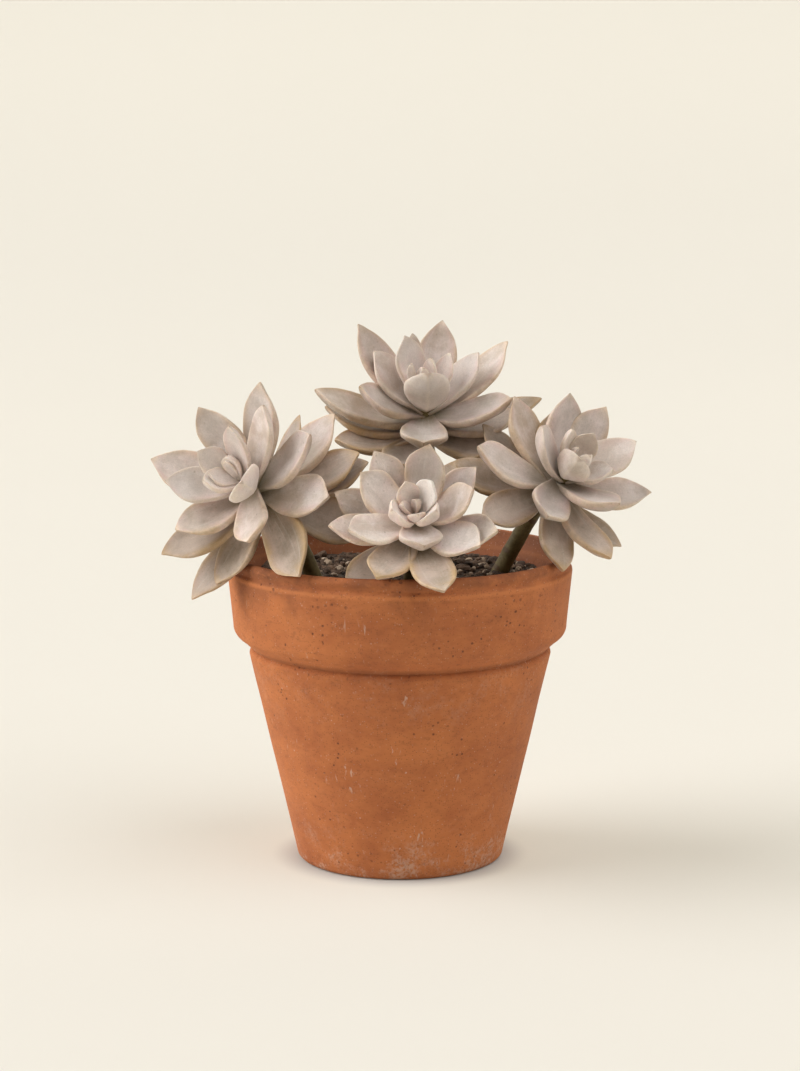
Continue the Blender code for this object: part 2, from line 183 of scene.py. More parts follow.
# ------------------------------------------------------------------------------ shader tools
class Wires:
    """Short hand for wiring one node tree. A feed is a socket to link from, or a plain value."""

    def __init__(self, tree: bpy.types.NodeTree) -> None:
        """Keep the tree."""
        self.tree = tree

    def add(self, kind: str, **settings: object) -> bpy.types.Node:
        """Add a node and set its properties.

        Args:
            kind: The node's type.
            **settings: Properties to set.

        Returns:
            The node.
        """
        node = self.tree.nodes.new(kind)
        for key, value in settings.items():
            setattr(node, key, value)
        return node

    def put(self, socket: Socket, value: Feed) -> None:
        """Link an output to a socket, or set the socket's own value.

        Args:
            socket: The input to feed.
            value: What feeds it; None leaves it alone.
        """
        if isinstance(value, Socket):
            self.tree.links.new(value, socket)
        elif value is not None:
            socket.default_value = value

    def math(self, operation: str, a: Feed, b: Feed = None, clamp: bool = False) -> Socket:
        """Work out one sum.

        Args:
            operation: The Math node's operation.
            a: Its first feed.
            b: Its second feed, if it takes one.
            clamp: Whether the result is kept between 0 and 1.

        Returns:
            The result.
        """
        node = self.add("ShaderNodeMath", operation=operation, use_clamp=clamp)
        self.put(node.inputs[0], a)
        self.put(node.inputs[1], b)
        return node.outputs[0]

    def times(self, a: Feed, *others: Feed) -> Socket:
        """Multiply feeds.

        Args:
            a: The first feed.
            *others: The rest.

        Returns:
            Their product.
        """
        for other in others:
            a = self.math("MULTIPLY", a, other)
        return a

    def plus(self, a: Feed, b: Feed, clamp: bool = False) -> Socket:
        """Two feeds added."""
        return self.math("ADD", a, b, clamp)

    def remap(self, value: Feed, low: Feed, high: Feed, to_low: float = 0.0,
              to_high: float = 1.0) -> Socket:
        """Map a value smoothly from one pair of limits to another.

        Args:
            value: What is mapped.
            low: Where it gives to_low.
            high: Where it gives to_high.
            to_low: The result at low.
            to_high: The result at high.

        Returns:
            The mapped value.
        """
        node = self.add("ShaderNodeMapRange", interpolation_type="SMOOTHSTEP")
        for socket, given in zip(node.inputs, (value, low, high, to_low, to_high)):
            self.put(socket, given)
        return node.outputs[0]

    def mix(self, mask: Feed, a: Feed, b: Feed, blend: str = "MIX") -> Socket:
        """Mix two colours.

        Args:
            mask: 0 for the first colour, 1 for the second.
            a: The first colour.
            b: The second colour.
            blend: How the second is laid on the first.

        Returns:
            The mixed colour.
        """
        node = self.add("ShaderNodeMix", data_type="RGBA", blend_type=blend)
        self.put(node.inputs[0], mask)
        colour_inputs = (6, 7)
        for index, value in zip(colour_inputs, (a, b)):
            self.put(node.inputs[index], (*value, 1.0) if isinstance(value, tuple) else value)
        return node.outputs[2]

    def cover(self, skin: Feed, colour: Colour, *masks: Feed) -> Socket:
        """Lay a colour over a skin where every mask lets it.

        Args:
            skin: What lies beneath.
            colour: What is laid on it.
            *masks: Masks and strengths from 0 to 1, multiplied together.

        Returns:
            The covered skin.
        """
        return self.mix(self.times(*masks), skin, colour)

    def noise(self, scale: Feed, detail: float = 3.0, rough: float = 0.55, warp: float = 0.0,
              vector: Feed = None) -> Socket:
        """Read a noise texture.

        Args:
            scale: Its patches per metre.
            detail: How many finer layers it has.
            rough: How strong the finer layers are.
            warp: How far it is distorted.
            vector: Where it is read.

        Returns:
            Its value, about 0.5.
        """
        node = self.add("ShaderNodeTexNoise")
        self.put(node.inputs["Vector"], vector)
        for key, value in (("Scale", scale), ("Detail", detail), ("Roughness", rough),
                           ("Distortion", warp)):
            self.put(node.inputs[key], value)
        return node.outputs[0]

    def moved(self, vector: Feed, **settings: Place) -> Socket:
        """Shift, turn or stretch a place before a texture reads it.

        Args:
            vector: The place.
            **settings: The Mapping node's Location, Rotation or Scale.

        Returns:
            The new place.
        """
        node = self.add("ShaderNodeMapping")
        self.put(node.inputs["Vector"], vector)
        for key, value in settings.items():
            node.inputs[key].default_value = value
        return node.outputs[0]

    def height_of(self, vector: Feed) -> Socket:
        """Read how high a place is.

        Args:
            vector: The place.

        Returns:
            Its upward part.
        """
        node = self.add("ShaderNodeSeparateXYZ")
        self.put(node.inputs[0], vector)
        return node.outputs[2]

    def value_of(self, name: str) -> Socket:
        """A per-point value kept on the mesh."""
        return self.add("ShaderNodeAttribute", attribute_name=name).outputs["Fac"]

    def place(self) -> Socket:
        """Position in the object's own space."""
        return self.add("ShaderNodeTexCoord").outputs["Object"]

    def relief(self, shader: bpy.types.Node, height: Feed, strength: float,
               depth: float) -> None:
        """Give a shader fine relief.

        Args:
            shader: The Principled shader.
            height: How far each point stands out, from 0 to 1.
            strength: How much of the relief shows.
            depth: Its full depth in metres.
        """
        bump = self.add("ShaderNodeBump")
        bump.inputs["Strength"].default_value = strength
        bump.inputs["Distance"].default_value = depth
        self.put(bump.inputs["Height"], height)
        self.put(shader.inputs["Normal"], bump.outputs[0])


class EffectGroups:
    """Shader effects that more than one finish uses, each built once."""

    SPECK_WARP = 0.0006
    SPECK_CORE = 0.55
    FINER = 7.0

    def __init__(self) -> None:
        """Start with none built."""
        self._built: dict[str, bpy.types.NodeTree] = {}

    def _start(self, name: str, inputs: Sequence[tuple[str, float | None]],
               output: str) -> tuple[Wires, bpy.types.Node, bpy.types.Node]:
        """Make an empty group with its sockets.

        Args:
            name: The group's name.
            inputs: Name and default of each input; one without a default is a place.
            output: Name of its one output.

        Returns:
            Its wires, its input node and its output node.
        """
        tree = bpy.data.node_groups.new(name, "ShaderNodeTree")
        for label, default in inputs:
            kind = "NodeSocketVector" if default is None else "NodeSocketFloat"
            socket = tree.interface.new_socket(label, in_out="INPUT", socket_type=kind)
            if default is not None:
                socket.default_value = default
        tree.interface.new_socket(output, in_out="OUTPUT", socket_type="NodeSocketFloat")
        self._built[name] = tree
        wires = Wires(tree)
        return wires, wires.add("NodeGroupInput"), wires.add("NodeGroupOutput")

    def _build_specks(self) -> None:
        """Build the group whose mask is 1 inside each of many scattered small specks."""
        w, src, out = self._start(
            "Specks", [("Place", None), ("Scale", 900.0), ("Size", 0.3), ("Share", 0.25)], "Mask")
        ragged = w.add("ShaderNodeTexNoise")
        w.put(ragged.inputs["Vector"], src.outputs["Place"])
        w.put(ragged.inputs["Scale"], src.outputs["Scale"])
        ragged.inputs["Detail"].default_value = 2.0
        shift = w.add("ShaderNodeVectorMath", operation="MULTIPLY_ADD")
        w.put(shift.inputs[0], ragged.outputs["Color"])
        shift.inputs[1].default_value = (self.SPECK_WARP,) * 3
        w.put(shift.inputs[2], src.outputs["Place"])
        cells = w.add("ShaderNodeTexVoronoi", feature="F1")
        w.put(cells.inputs["Vector"], shift.outputs[0])
        w.put(cells.inputs["Scale"], src.outputs["Scale"])
        tint = w.add("ShaderNodeSeparateColor")
        w.put(tint.inputs[0], cells.outputs["Color"])
        chosen = w.math("LESS_THAN", tint.outputs[0], src.outputs["Share"])
        core = w.times(src.outputs["Size"], self.SPECK_CORE)
        inside = w.remap(cells.outputs["Distance"], core, src.outputs["Size"], 1.0, 0.0)
        w.put(out.inputs[0], w.times(inside, chosen))

    def _build_mottle(self) -> None:
        """Build the group of soft large and small patches, blended to one value about 0.5."""
        w, src, out = self._start(
            "Mottle", [("Place", None), ("Scale", 40.0), ("Fineness", 0.4)], "Value")
        broad = w.noise(src.outputs["Scale"], 3.0, 0.5, 0.6, src.outputs["Place"])
        fine = w.noise(w.times(src.outputs["Scale"], self.FINER), 4.0, 0.6, 0.2,
                       src.outputs["Place"])
        blend = w.add("ShaderNodeMix", data_type="FLOAT")
        for socket, given in zip((0, 2, 3), (src.outputs["Fineness"], broad, fine)):
            w.put(blend.inputs[socket], given)
        w.put(out.inputs[0], blend.outputs[0])

    def _use(self, wires: Wires, name: str, **values: Feed) -> Socket:
        """Place a group in a material.

        Args:
            wires: The material's wires.
            name: The group's name.
            **values: What feeds its named inputs.

        Returns:
            The group's output.
        """
        node = wires.add("ShaderNodeGroup")
        node.node_tree = self._built[name]
        for key, value in values.items():
            wires.put(node.inputs[key], value)
        return node.outputs[0]

    def specks(self, wires: Wires, place: Feed, scale: float, size: float,
               share: float) -> Socket:
        """Scatter small specks over a material.

        Args:
            wires: The material's wires.
            place: Where the specks are read.
            scale: Cells per metre, each with room for one speck.
            size: A speck's radius as a share of its cell.
            share: How many of the cells have one.

        Returns:
            A mask that is 1 inside a speck.
        """
        if "Specks" not in self._built:
            self._build_specks()
        return self._use(wires, "Specks", Place=place, Scale=scale, Size=size, Share=share)

    def mottle(self, wires: Wires, place: Feed, scale: float, fineness: float) -> Socket:
        """Cloud a material with soft patches.

        Args:
            wires: The material's wires.
            place: Where the patches are read.
            scale: Large patches per metre.
            fineness: The share of the small patches.

        Returns:
            A value about 0.5.
        """
        if "Mottle" not in self._built:
            self._build_mottle()
        return self._use(wires, "Mottle", Place=place, Scale=scale, Fineness=fineness)


GROUPS = EffectGroups()


def new_material(name: str) -> tuple[bpy.types.Material, Wires, bpy.types.Node]:
    """Make a fresh material.

    Args:
        name: Its name.

    Returns:
        The material, its wires and its Principled shader.
    """
    material = bpy.data.materials.new(name)
    material.use_nodes = True
    shader = next(n for n in material.node_tree.nodes if n.type == "BSDF_PRINCIPLED")
    return material, Wires(material.node_tree), shader


class Age(Enum):
    """How old a leaf is: the young keep a thick pale bloom, the old are worn olive-brown."""

    YOUNG = "young_leaf_skin"
    GROWN = "leaf_skin"
    OLD = "old_leaf_skin"

    @property
    def slot(self) -> str:
        """The record's material slot for a leaf of this age."""
        return Age.YOUNG.value if self is Age.YOUNG else Age.GROWN.value


class LeafPlaces:
    """Where a point lies on its leaf, and the streaks and patches there."""

    def __init__(self, w: Wires) -> None:
        """Read the values that each leaf's mesh keeps.

        Args:
            w: The material's wires.
        """
        self.place = w.place()
        self.along, self.across, self.rim, self.under, self.seed, self.wear = (
            w.value_of(k) for k in ("along", "across", "rim", "under", "seed", "wear"))
        self.off_middle = w.math("ABSOLUTE", self.across)
        lengthwise = w.add("ShaderNodeCombineXYZ")
        for socket, given in zip(lengthwise.inputs, (w.times(self.across, 4.5),
                                                     w.times(self.along, 1.6),
                                                     w.times(self.seed, 60.0))):
            w.put(socket, given)
        self.lengthwise = lengthwise.outputs[0]
        self.streak = w.noise(1.0, 4.0, 0.6, 0.5, self.lengthwise)
        self.patch = GROUPS.mottle(w, self.place, 75.0, 0.24)


@dataclass(frozen=True)
class LeafFinish:
    """Fleshy leaf skin under a powdery bloom, with tan edges and an olive foot."""

    age: Age
    bloom: Colour
    flesh: Colour
    # Paler edge colour, also used for the painted highlights on the rim and the keel.
    edge: Colour
    foot: Colour
    blush: Colour
    tan: Colour = (0.480, 0.320, 0.160)
    cool: Colour = (0.520, 0.500, 0.470)
    chalk: Colour = (0.820, 0.765, 0.715)
    tip: Colour = (0.360, 0.215, 0.130)
    margin: float = 0.30
    # Bloom thinned underneath and at the foot: partly rubbed off, partly painted shade.
    bare_and_shaded_under: float = 0.45
    worn: float = 0.36
    rubbed_by_wear: float = 0.45
    rubbed_and_shaded_foot: float = 0.50
    blush_share: float = 0.80
    warm_share: float = 0.34
    streak_share: float = 0.30
    # Strengths of the painted highlights on the rim and on the keel.
    rim_highlight: float = 0.78
    keel_highlight: float = 0.5
    tip_share: float = 0.6
    cool_share: float = 0.50
    dot_share: float = 0.28
    scar_share: float = 0.40
    roughness: float = 0.50

    def worn_and_shaded_bloom(self, w: Wires, on: LeafPlaces) -> Socket:
        """Thin the bloom in patches, by wear, underneath and at the foot; the last three partly as
        painted shade.

        Args:
            w: The material's wires.
            on: Where a point lies on its leaf.

        Returns:
            The skin's colour.
        """
        rubbed = w.remap(w.plus(w.times(on.patch, 0.72), w.times(on.streak, 0.28)), 0.38, 0.64)
        # Darker underneath: partly bare flesh, partly painted shade on the underside.
        thin = w.plus(w.times(on.under, self.bare_and_shaded_under), w.times(rubbed, self.worn))
        # Per-leaf wear: partly rubbed bloom, partly painted shade on leaves that face the light.
        thin = w.plus(thin, w.times(on.wear, self.rubbed_by_wear))
        # Darker at the foot: partly bare flesh, partly painted shade where the leaves crowd.
        thin = w.plus(thin, w.remap(on.along, 0.42, 0.04, 0.0, self.rubbed_and_shaded_foot), clamp=True)
        return w.mix(thin, self.bloom, self.flesh)

    def tinted(self, w: Wires, on: LeafPlaces, skin: Socket) -> Socket:
        """Blush the sides, warm some leaves, turn the foot olive, partly as painted shade and most
        underneath, and streak the face.

        Args:
            w: The material's wires.
            on: Where a point lies on its leaf.
            skin: The colour so far.

        Returns:
            The tinted colour.
        """
        outer = w.remap(on.off_middle, 0.30, 0.90, 0.25, 1.0)
        blush = w.remap(w.noise(52.0, 3.0, 0.55, 0.5, on.place), 0.42, 0.60)
        skin = w.cover(skin, self.blush, blush, outer, self.blush_share)
        leaf_luck = w.math("FRACT", w.times(on.seed, 7.3))
        warm = w.remap(leaf_luck, 0.35, 1.0, 0.0, self.warm_share)
        skin = w.cover(skin, self.tan, warm, w.remap(on.patch, 0.36, 0.62))
        # Olive foot, stronger underneath: real colour and painted shade at the crowded base.
        skin = w.cover(skin, self.foot, w.remap(on.along, 0.40, 0.02),
                       w.remap(on.under, 0.0, 1.0, 0.45, 1.0))
        return w.cover(skin, self.chalk, w.remap(on.streak, 0.52, 0.70, 0.0, self.streak_share),
                       w.remap(on.under, 0.0, 1.0, 1.0, 0.5))

    def edged(self, w: Wires, on: LeafPlaces, skin: Socket) -> Socket:
        """Lighten the rim, its own paler colour with a painted highlight, paint a highlight along the
        keel, darken the tip and turn the margins tan.

        Args:
            w: The material's wires.
            on: Where a point lies on its leaf.
            skin: The colour so far.

        Returns:
            The edged colour.
        """
        broken = w.remap(w.noise(260.0, 3.0, 0.6, 0.3, on.place), 0.28, 0.66, 0.35, 1.0)
        # Rim: its own paler colour with a painted highlight along the rounded edge.
        skin = w.cover(skin, self.edge, on.rim, broken, w.remap(on.along, 0.06, 0.40),
                       self.rim_highlight)
        # Painted highlight along the keel underneath.
        skin = w.cover(skin, self.edge, w.remap(on.off_middle, 0.16, 0.0), on.under,
                       self.keel_highlight)
        skin = w.cover(skin, self.tip, w.remap(on.along, 0.975, 1.0, 0.0, self.tip_share))
        margin = w.times(w.remap(on.off_middle, 0.50, 0.94),
                         w.remap(on.along, 0.15, 0.55))
        margin = w.math("MAXIMUM", margin, w.remap(on.along, 0.80, 0.99))
        ragged = w.remap(w.noise(70.0, 4.0, 0.6, 0.5, on.place), 0.34, 0.62)
        # Per-leaf wear also widens the tan margins, partly as painted shade.
        share = w.plus(w.times(on.wear, 0.35), self.margin)
        return w.cover(skin, self.tan, margin, ragged, share)

    def powdered(self, w: Wires, on: LeafPlaces, skin: Socket) -> Socket:
        """Cool the middle, chalk the pale leaves and vary the tone from leaf to leaf.

        Args:
            w: The material's wires.
            on: Where a point lies on its leaf.
            skin: The colour so far.

        Returns:
            The powdered colour.
        """
        cool = w.remap(w.noise(36.0, 3.0, 0.55, 0.6, on.lengthwise), 0.5, 0.7)
        inner = w.remap(on.off_middle, 0.85, 0.25, 0.3, 1.0)
        skin = w.cover(skin, self.cool, cool, inner, self.cool_share)
        skin = w.cover(skin, self.chalk, w.value_of("pale"), 0.8)
        powder = w.remap(w.noise(1500.0, 3.0, 0.7, 0.0, on.place), 0.3, 0.7, 0.94, 1.06)
        cloud = w.remap(on.patch, 0.34, 0.66, 1.05, 0.94)
        tone = w.times(w.remap(on.seed, 0.0, 1.0, 0.90, 1.08), w.times(powder, cloud))
        grey = w.add("ShaderNodeCombineColor")
        for socket in grey.inputs:
            w.put(socket, tone)
        return w.mix(1.0, skin, grey.outputs[0], "MULTIPLY")

    def make(self) -> bpy.types.Material:
        """Build the material.

        Returns:
            The material.
        """
        material, w, shader = new_material(self.age.value)
        on = LeafPlaces(w)
        skin = self.worn_and_shaded_bloom(w, on)
        for step in (self.tinted, self.edged, self.powdered):
            skin = step(w, on, skin)
        dots = GROUPS.specks(w, on.place, 620.0, 0.34, 0.10)
        skin = w.cover(skin, self.flesh, dots, self.dot_share)
        scars = GROUPS.specks(w, on.place, 150.0, 0.09, 0.12)
        skin = w.cover(skin, self.foot, scars, self.scar_share)
        w.put(shader.inputs["Base Color"], skin)
        w.put(shader.inputs["Roughness"], w.remap(on.patch, 0.3, 0.7, self.roughness + 0.1,
                                                  self.roughness - 0.1))
        for key, value in (("Subsurface Weight", 0.10),
                           ("Subsurface Radius", (0.0026, 0.0016, 0.0010)),
                           ("Subsurface Scale", 1.0), ("Sheen Weight", 0.10),
                           ("Sheen Roughness", 0.5), ("Specular IOR Level", 0.46)):
            shader.inputs[key].default_value = value
        grain = w.times(w.noise(2600.0, 2.0, 0.6, 0.0, on.place), 0.22)
        lumps = w.plus(w.plus(w.noise(210.0, 3.0, 0.5, 0.2, on.place), grain),
                       w.times(on.streak, 0.5))
        w.relief(shader, w.math("SUBTRACT", lumps, w.times(scars, 0.5)), 0.30, 0.0007)
        return material


@dataclass(frozen=True)
class StemFinish:
    """Smooth grey-green stem with olive-brown leaf scars."""

    name: str = "stem skin"
    green: Colour = (0.105, 0.074, 0.019)
    grey: Colour = (0.185, 0.140, 0.052)
    scar: Colour = (0.115, 0.066, 0.026)
    scar_share: float = 0.95
    dot_share: float = 0.4

    def make(self) -> bpy.types.Material:
        """Build the material.

        Returns:
            The material.
        """
        material, w, shader = new_material(self.name)
        place = w.place()
        patch = GROUPS.mottle(w, place, 150.0, 0.45)
        skin = w.mix(w.remap(patch, 0.35, 0.65), self.green, self.grey)
        skin = w.cover(skin, self.scar, w.value_of("scar"), self.scar_share)
        skin = w.cover(skin, self.scar, GROUPS.specks(w, place, 700.0, 0.35, 0.2), self.dot_share)
        w.put(shader.inputs["Base Color"], skin)
        w.put(shader.inputs["Roughness"], w.remap(patch, 0.3, 0.7, 0.5, 0.72))
        w.relief(shader, w.noise(420.0, 4.0, 0.6, 0.3, place), 0.4, 0.0006)
        return material


class ClayPlaces:
    """Where a point lies on the pot, and the patches there. Heights are metres."""

    def __init__(self, w: Wires) -> None:
        """Read the point's place in the ways that the clay's layers need.

        Args:
            w: The material's wires.
        """
        self.place = w.place()
        self.height = w.height_of(self.place)
        self.flattened = w.moved(self.place, Scale=(1.0, 1.0, 2.1))
        self.elsewhere = w.moved(self.place, Location=(0.31, 0.17, 0.09))
        self.patch = GROUPS.mottle(w, self.place, 26.0, 0.34)

    def band(self, w: Wires, foot: float, low: float, high: float, top: float) -> Socket:
        """Mark a level band round the pot.

        Args:
            w: The material's wires.
            foot: Where the band starts.
            low: Where it has its full strength.
            high: Up to where it keeps it.
            top: Where the band ends.

        Returns:
            A mask that is 1 inside the band.
        """
        return w.times(w.remap(self.height, foot, low), w.remap(self.height, top, high))


@dataclass(frozen=True)
class ClayFinish:
    """Unglazed fired clay: mottled orange-brown, pitted, scratched and bloomed with lime."""

    name: str = "terracotta"
    # Pale clay; also the colour of the painted highlight under the lip.
    light: Colour = (0.585, 0.202, 0.068)
    dark: Colour = (0.375, 0.112, 0.038)
    # Dark stain; also painted shade in the waist crease.
    stain_and_shade: Colour = (0.170, 0.060, 0.028)
    lime: Colour = (0.620, 0.450, 0.340)
    mark_share: float = 0.42
    lip_share: float = 0.62
    # Strength of the painted highlight under the lip.
    ridge_highlight_share: float = 0.70
    # Strength of the painted shade in the waist crease.
    crease_shade_share: float = 0.36
    inside_share: float = 0.62
    salt_share: float = 0.50
    chip_share: float = 0.6
    pit_share: float = 0.8
    grain_share: float = 0.46
    dust_share: float = 0.30
    scuff_share: float = 0.6

    def fired(self, w: Wires, on: ClayPlaces) -> Socket:
        """Mottle the bare clay in level patches.

        Args:
            w: The material's wires.
            on: Where a point lies on the pot.

        Returns:
            The clay's colour.
        """
        level = w.noise(34.0, 4.0, 0.55, 0.4, on.flattened)
        blend = w.plus(w.times(on.patch, 0.6), w.times(level, 0.4))
        return w.mix(w.remap(blend, 0.26, 0.74), self.dark, self.light)

    def stained_and_shaded(self, w: Wires, on: ClayPlaces, clay: Socket) -> Socket:
        """Mark the collar with old water, stain the handled lip and darken the inside; paint shade
        into the waist crease and a highlight just under the lip.

        Args:
            w: The material's wires.
            on: Where a point lies on the pot.
            clay: The colour so far.

        Returns:
            The stained colour.
        """
        marks = w.remap(w.noise(30.0, 4.0, 0.6, 0.8, on.elsewhere), 0.48, 0.68)
        clay = w.cover(clay, self.stain_and_shade, marks, w.remap(on.height, 0.104, 0.130),
                       self.mark_share)
        worn = w.remap(w.noise(95.0, 4.0, 0.62, 0.5, on.elsewhere), 0.36, 0.66, 0.25, 1.0)
        clay = w.cover(clay, self.stain_and_shade, w.remap(on.height, 0.1288, 0.1330), worn, self.lip_share)
        # Painted highlight: a pale line along the step just under the lip.
        ridge_highlight = on.band(w, 0.1262, 0.1276, 0.1280, 0.1292)
        clay = w.cover(clay, self.light, ridge_highlight, self.ridge_highlight_share)
        # Painted shade: a dark line in the crease under the collar.
        crease_shade = on.band(w, 0.0928, 0.0941, 0.0948, 0.0966)
        clay = w.cover(clay, self.stain_and_shade, crease_shade, self.crease_shade_share)
        brushed = w.noise(210.0, 6.0, 0.7, 0.2, on.flattened)
        clay = w.cover(clay, self.stain_and_shade, w.remap(brushed, 0.52, 0.72, 0.0, 0.30))
        clay = w.cover(clay, self.light, w.remap(brushed, 0.48, 0.30, 0.0, 0.35))
        # Darker inside the pot's mouth.
        return w.cover(clay, self.stain_and_shade, w.value_of("inside"), self.inside_share)

    def salt_on(self, w: Wires, on: ClayPlaces) -> Socket:
        """Bloom lime near the foot, under the collar and faintly elsewhere.

        Args:
            w: The material's wires.
            on: Where a point lies on the pot.

        Returns:
            The lime's mask.
        """
        foot = w.remap(on.height, 0.030, 0.003)
        zone = w.plus(foot, w.times(on.band(w, 0.062, 0.088, 0.090, 0.099), 0.28), clamp=True)
        salt = w.remap(w.noise(75.0, 8.0, 0.74, 0.15, on.place), 0.47, 0.64)
        salt = w.times(salt, w.remap(w.noise(700.0, 3.0, 0.6, 0.0, on.place), 0.34, 0.60))
        return w.times(salt, w.plus(zone, 0.035))

    def pits_on(self, w: Wires, on: ClayPlaces) -> Socket:
        """Pit the clay in groups, most of all on the collar.

        Args:
            w: The material's wires.
            on: Where a point lies on the pot.

        Returns:
            The pits' mask.
        """
        grouped = w.remap(w.noise(48.0, 3.0, 0.6, 0.6, on.elsewhere), 0.50, 0.62)
        small = w.times(GROUPS.specks(w, on.place, 500.0, 0.33, 0.22), w.plus(grouped, 0.14))
        large = w.times(GROUPS.specks(w, on.place, 360.0, 0.33, 0.22),
                        w.remap(on.height, 0.112, 0.130), grouped)
        return w.math("MAXIMUM", small, large)

    def speckled(self, w: Wires, on: ClayPlaces, clay: Socket) -> Socket:
        """Fleck the clay with dark grains and pale dust, and scuff it.

        Args:
            w: The material's wires.
            on: Where a point lies on the pot.
            clay: The colour so far.

        Returns:
            The speckled colour.
        """
        grains = GROUPS.specks(w, on.place, 1300.0, 0.42, 0.30)
        clay = w.cover(clay, self.stain_and_shade, grains, self.grain_share)
        dust = GROUPS.specks(w, on.elsewhere, 1100.0, 0.34, 0.10)
        clay = w.cover(clay, self.lime, dust, self.dust_share)
        slanted = w.moved(on.place, Rotation=(0.5, 0.3, 0.2), Scale=(1.0, 1.0, 0.12))
        scuff = w.remap(w.noise(900.0, 2.0, 0.5, 0.4, slanted), 0.63, 0.72)
        where = w.remap(w.noise(42.0, 2.0, 0.5, 0.3, on.elsewhere), 0.56, 0.66)
        return w.cover(clay, self.lime, scuff, where, self.scuff_share)

    def make(self) -> bpy.types.Material:
        """Build the material.

        Returns:
            The material.
        """
        material, w, shader = new_material(self.name)
        on = ClayPlaces(w)
        salt, pits = self.salt_on(w, on), self.pits_on(w, on)
        clay = self.stained_and_shaded(w, on, self.fired(w, on))
        clay = w.cover(clay, self.lime, salt, self.salt_share)
        cluster = w.remap(w.noise(60.0, 3.0, 0.6, 0.4, on.place), 0.52, 0.66)
        chips = GROUPS.specks(w, on.place, 420.0, 0.22, 0.16)
        clay = w.cover(clay, self.lime, chips, cluster, self.chip_share)
        clay = w.cover(clay, self.stain_and_shade, pits, self.pit_share)
        w.put(shader.inputs["Base Color"], self.speckled(w, on, clay))
        w.put(shader.inputs["Roughness"], w.remap(on.patch, 0.3, 0.7, 0.74, 0.9))
        shader.inputs["Specular IOR Level"].default_value = 0.3
        sand = w.noise(1900.0, 3.0, 0.65, 0.0, on.place)
        rings = w.noise(620.0, 2.0, 0.5, 0.0, w.moved(on.place, Scale=(0.12, 0.12, 1.0)))
        height = w.plus(w.times(sand, 0.35), w.times(rings, 0.5))
        height = w.math("SUBTRACT", height, w.times(pits, 1.6))
        w.relief(shader, w.plus(height, w.times(salt, 0.5)), 0.5, 0.0005)
        return material


@dataclass(frozen=True)
class GrainFinish:
    """A loose grain: one colour blended to another grain by grain."""

    name: str
    one: Colour
    other: Colour
    roughness: float = 0.95
    fleck: Colour = (0.01, 0.007, 0.005)
    dust_share: float = 0.45

    def make(self) -> bpy.types.Material:
        """Build the material.

        Returns:
            The material.
        """
        material, w, shader = new_material(self.name)
        place = w.place()
        skin = w.mix(w.value_of("seed"), self.one, self.other)
        dust = w.remap(w.noise(900.0, 4.0, 0.65, 0.4, place), 0.42, 0.68)
        w.put(shader.inputs["Base Color"], w.cover(skin, self.fleck, dust, self.dust_share))
        w.put(shader.inputs["Roughness"], w.remap(dust, 0.0, 1.0, self.roughness - 0.12,
                                                  self.roughness))
        w.relief(shader, w.noise(1500.0, 4.0, 0.7, 0.2, place), 0.6, 0.0004)
        return material


@dataclass(frozen=True)
class PaperFinish:
    """Pale studio paper that gives off a little light, so that shadows on it stay soft.

    Its light is weaker on the floor than high on the wall, and nearly out in a ring round the
    pot's foot, which paints a dark contact shadow there.
    """

    name: str = "studio paper"
    colour: Colour = (0.530, 0.518, 0.500)
    haze: float = 0.985
    glow: Colour = (1.0, 0.912, 0.690)
    glow_low: float = 0.285
    glow_high: float = 0.365
    wall_height: float = 0.45
    # Radii of the ring of painted contact shadow round the foot, and how much glow is left in it.
    ring: tuple[float, float] = (0.043, 0.058)
    contact_shadow_glow: float = 0.15

    def make(self) -> bpy.types.Material:
        """Build the material.

        Returns:
            The material.
        """
        material, w, shader = new_material(self.name)
        place = w.place()
        hazy = w.remap(w.noise(1.1, 2.0, 0.5, 0.0, place), 0.3, 0.7)
        w.put(shader.inputs["Base Color"],
              w.mix(hazy, self.colour, tuple(c * self.haze for c in self.colour)))
        shader.inputs["Roughness"].default_value = 0.95
        shader.inputs["Specular IOR Level"].default_value = 0.1
        shader.inputs["Emission Color"].default_value = (*self.glow, 1.0)
        away = w.add("ShaderNodeVectorMath", operation="LENGTH")
        w.put(away.inputs[0], place)
        # Painted contact shadow: the paper's glow nearly out in a ring round the pot's foot.
        painted_contact_shadow = w.remap(away.outputs["Value"], *self.ring, self.contact_shadow_glow, 1.0)
        glow = w.remap(w.height_of(place), 0.0, self.wall_height, self.glow_low, self.glow_high)
        w.put(shader.inputs["Emission Strength"], w.times(glow, painted_contact_shadow))
        return material


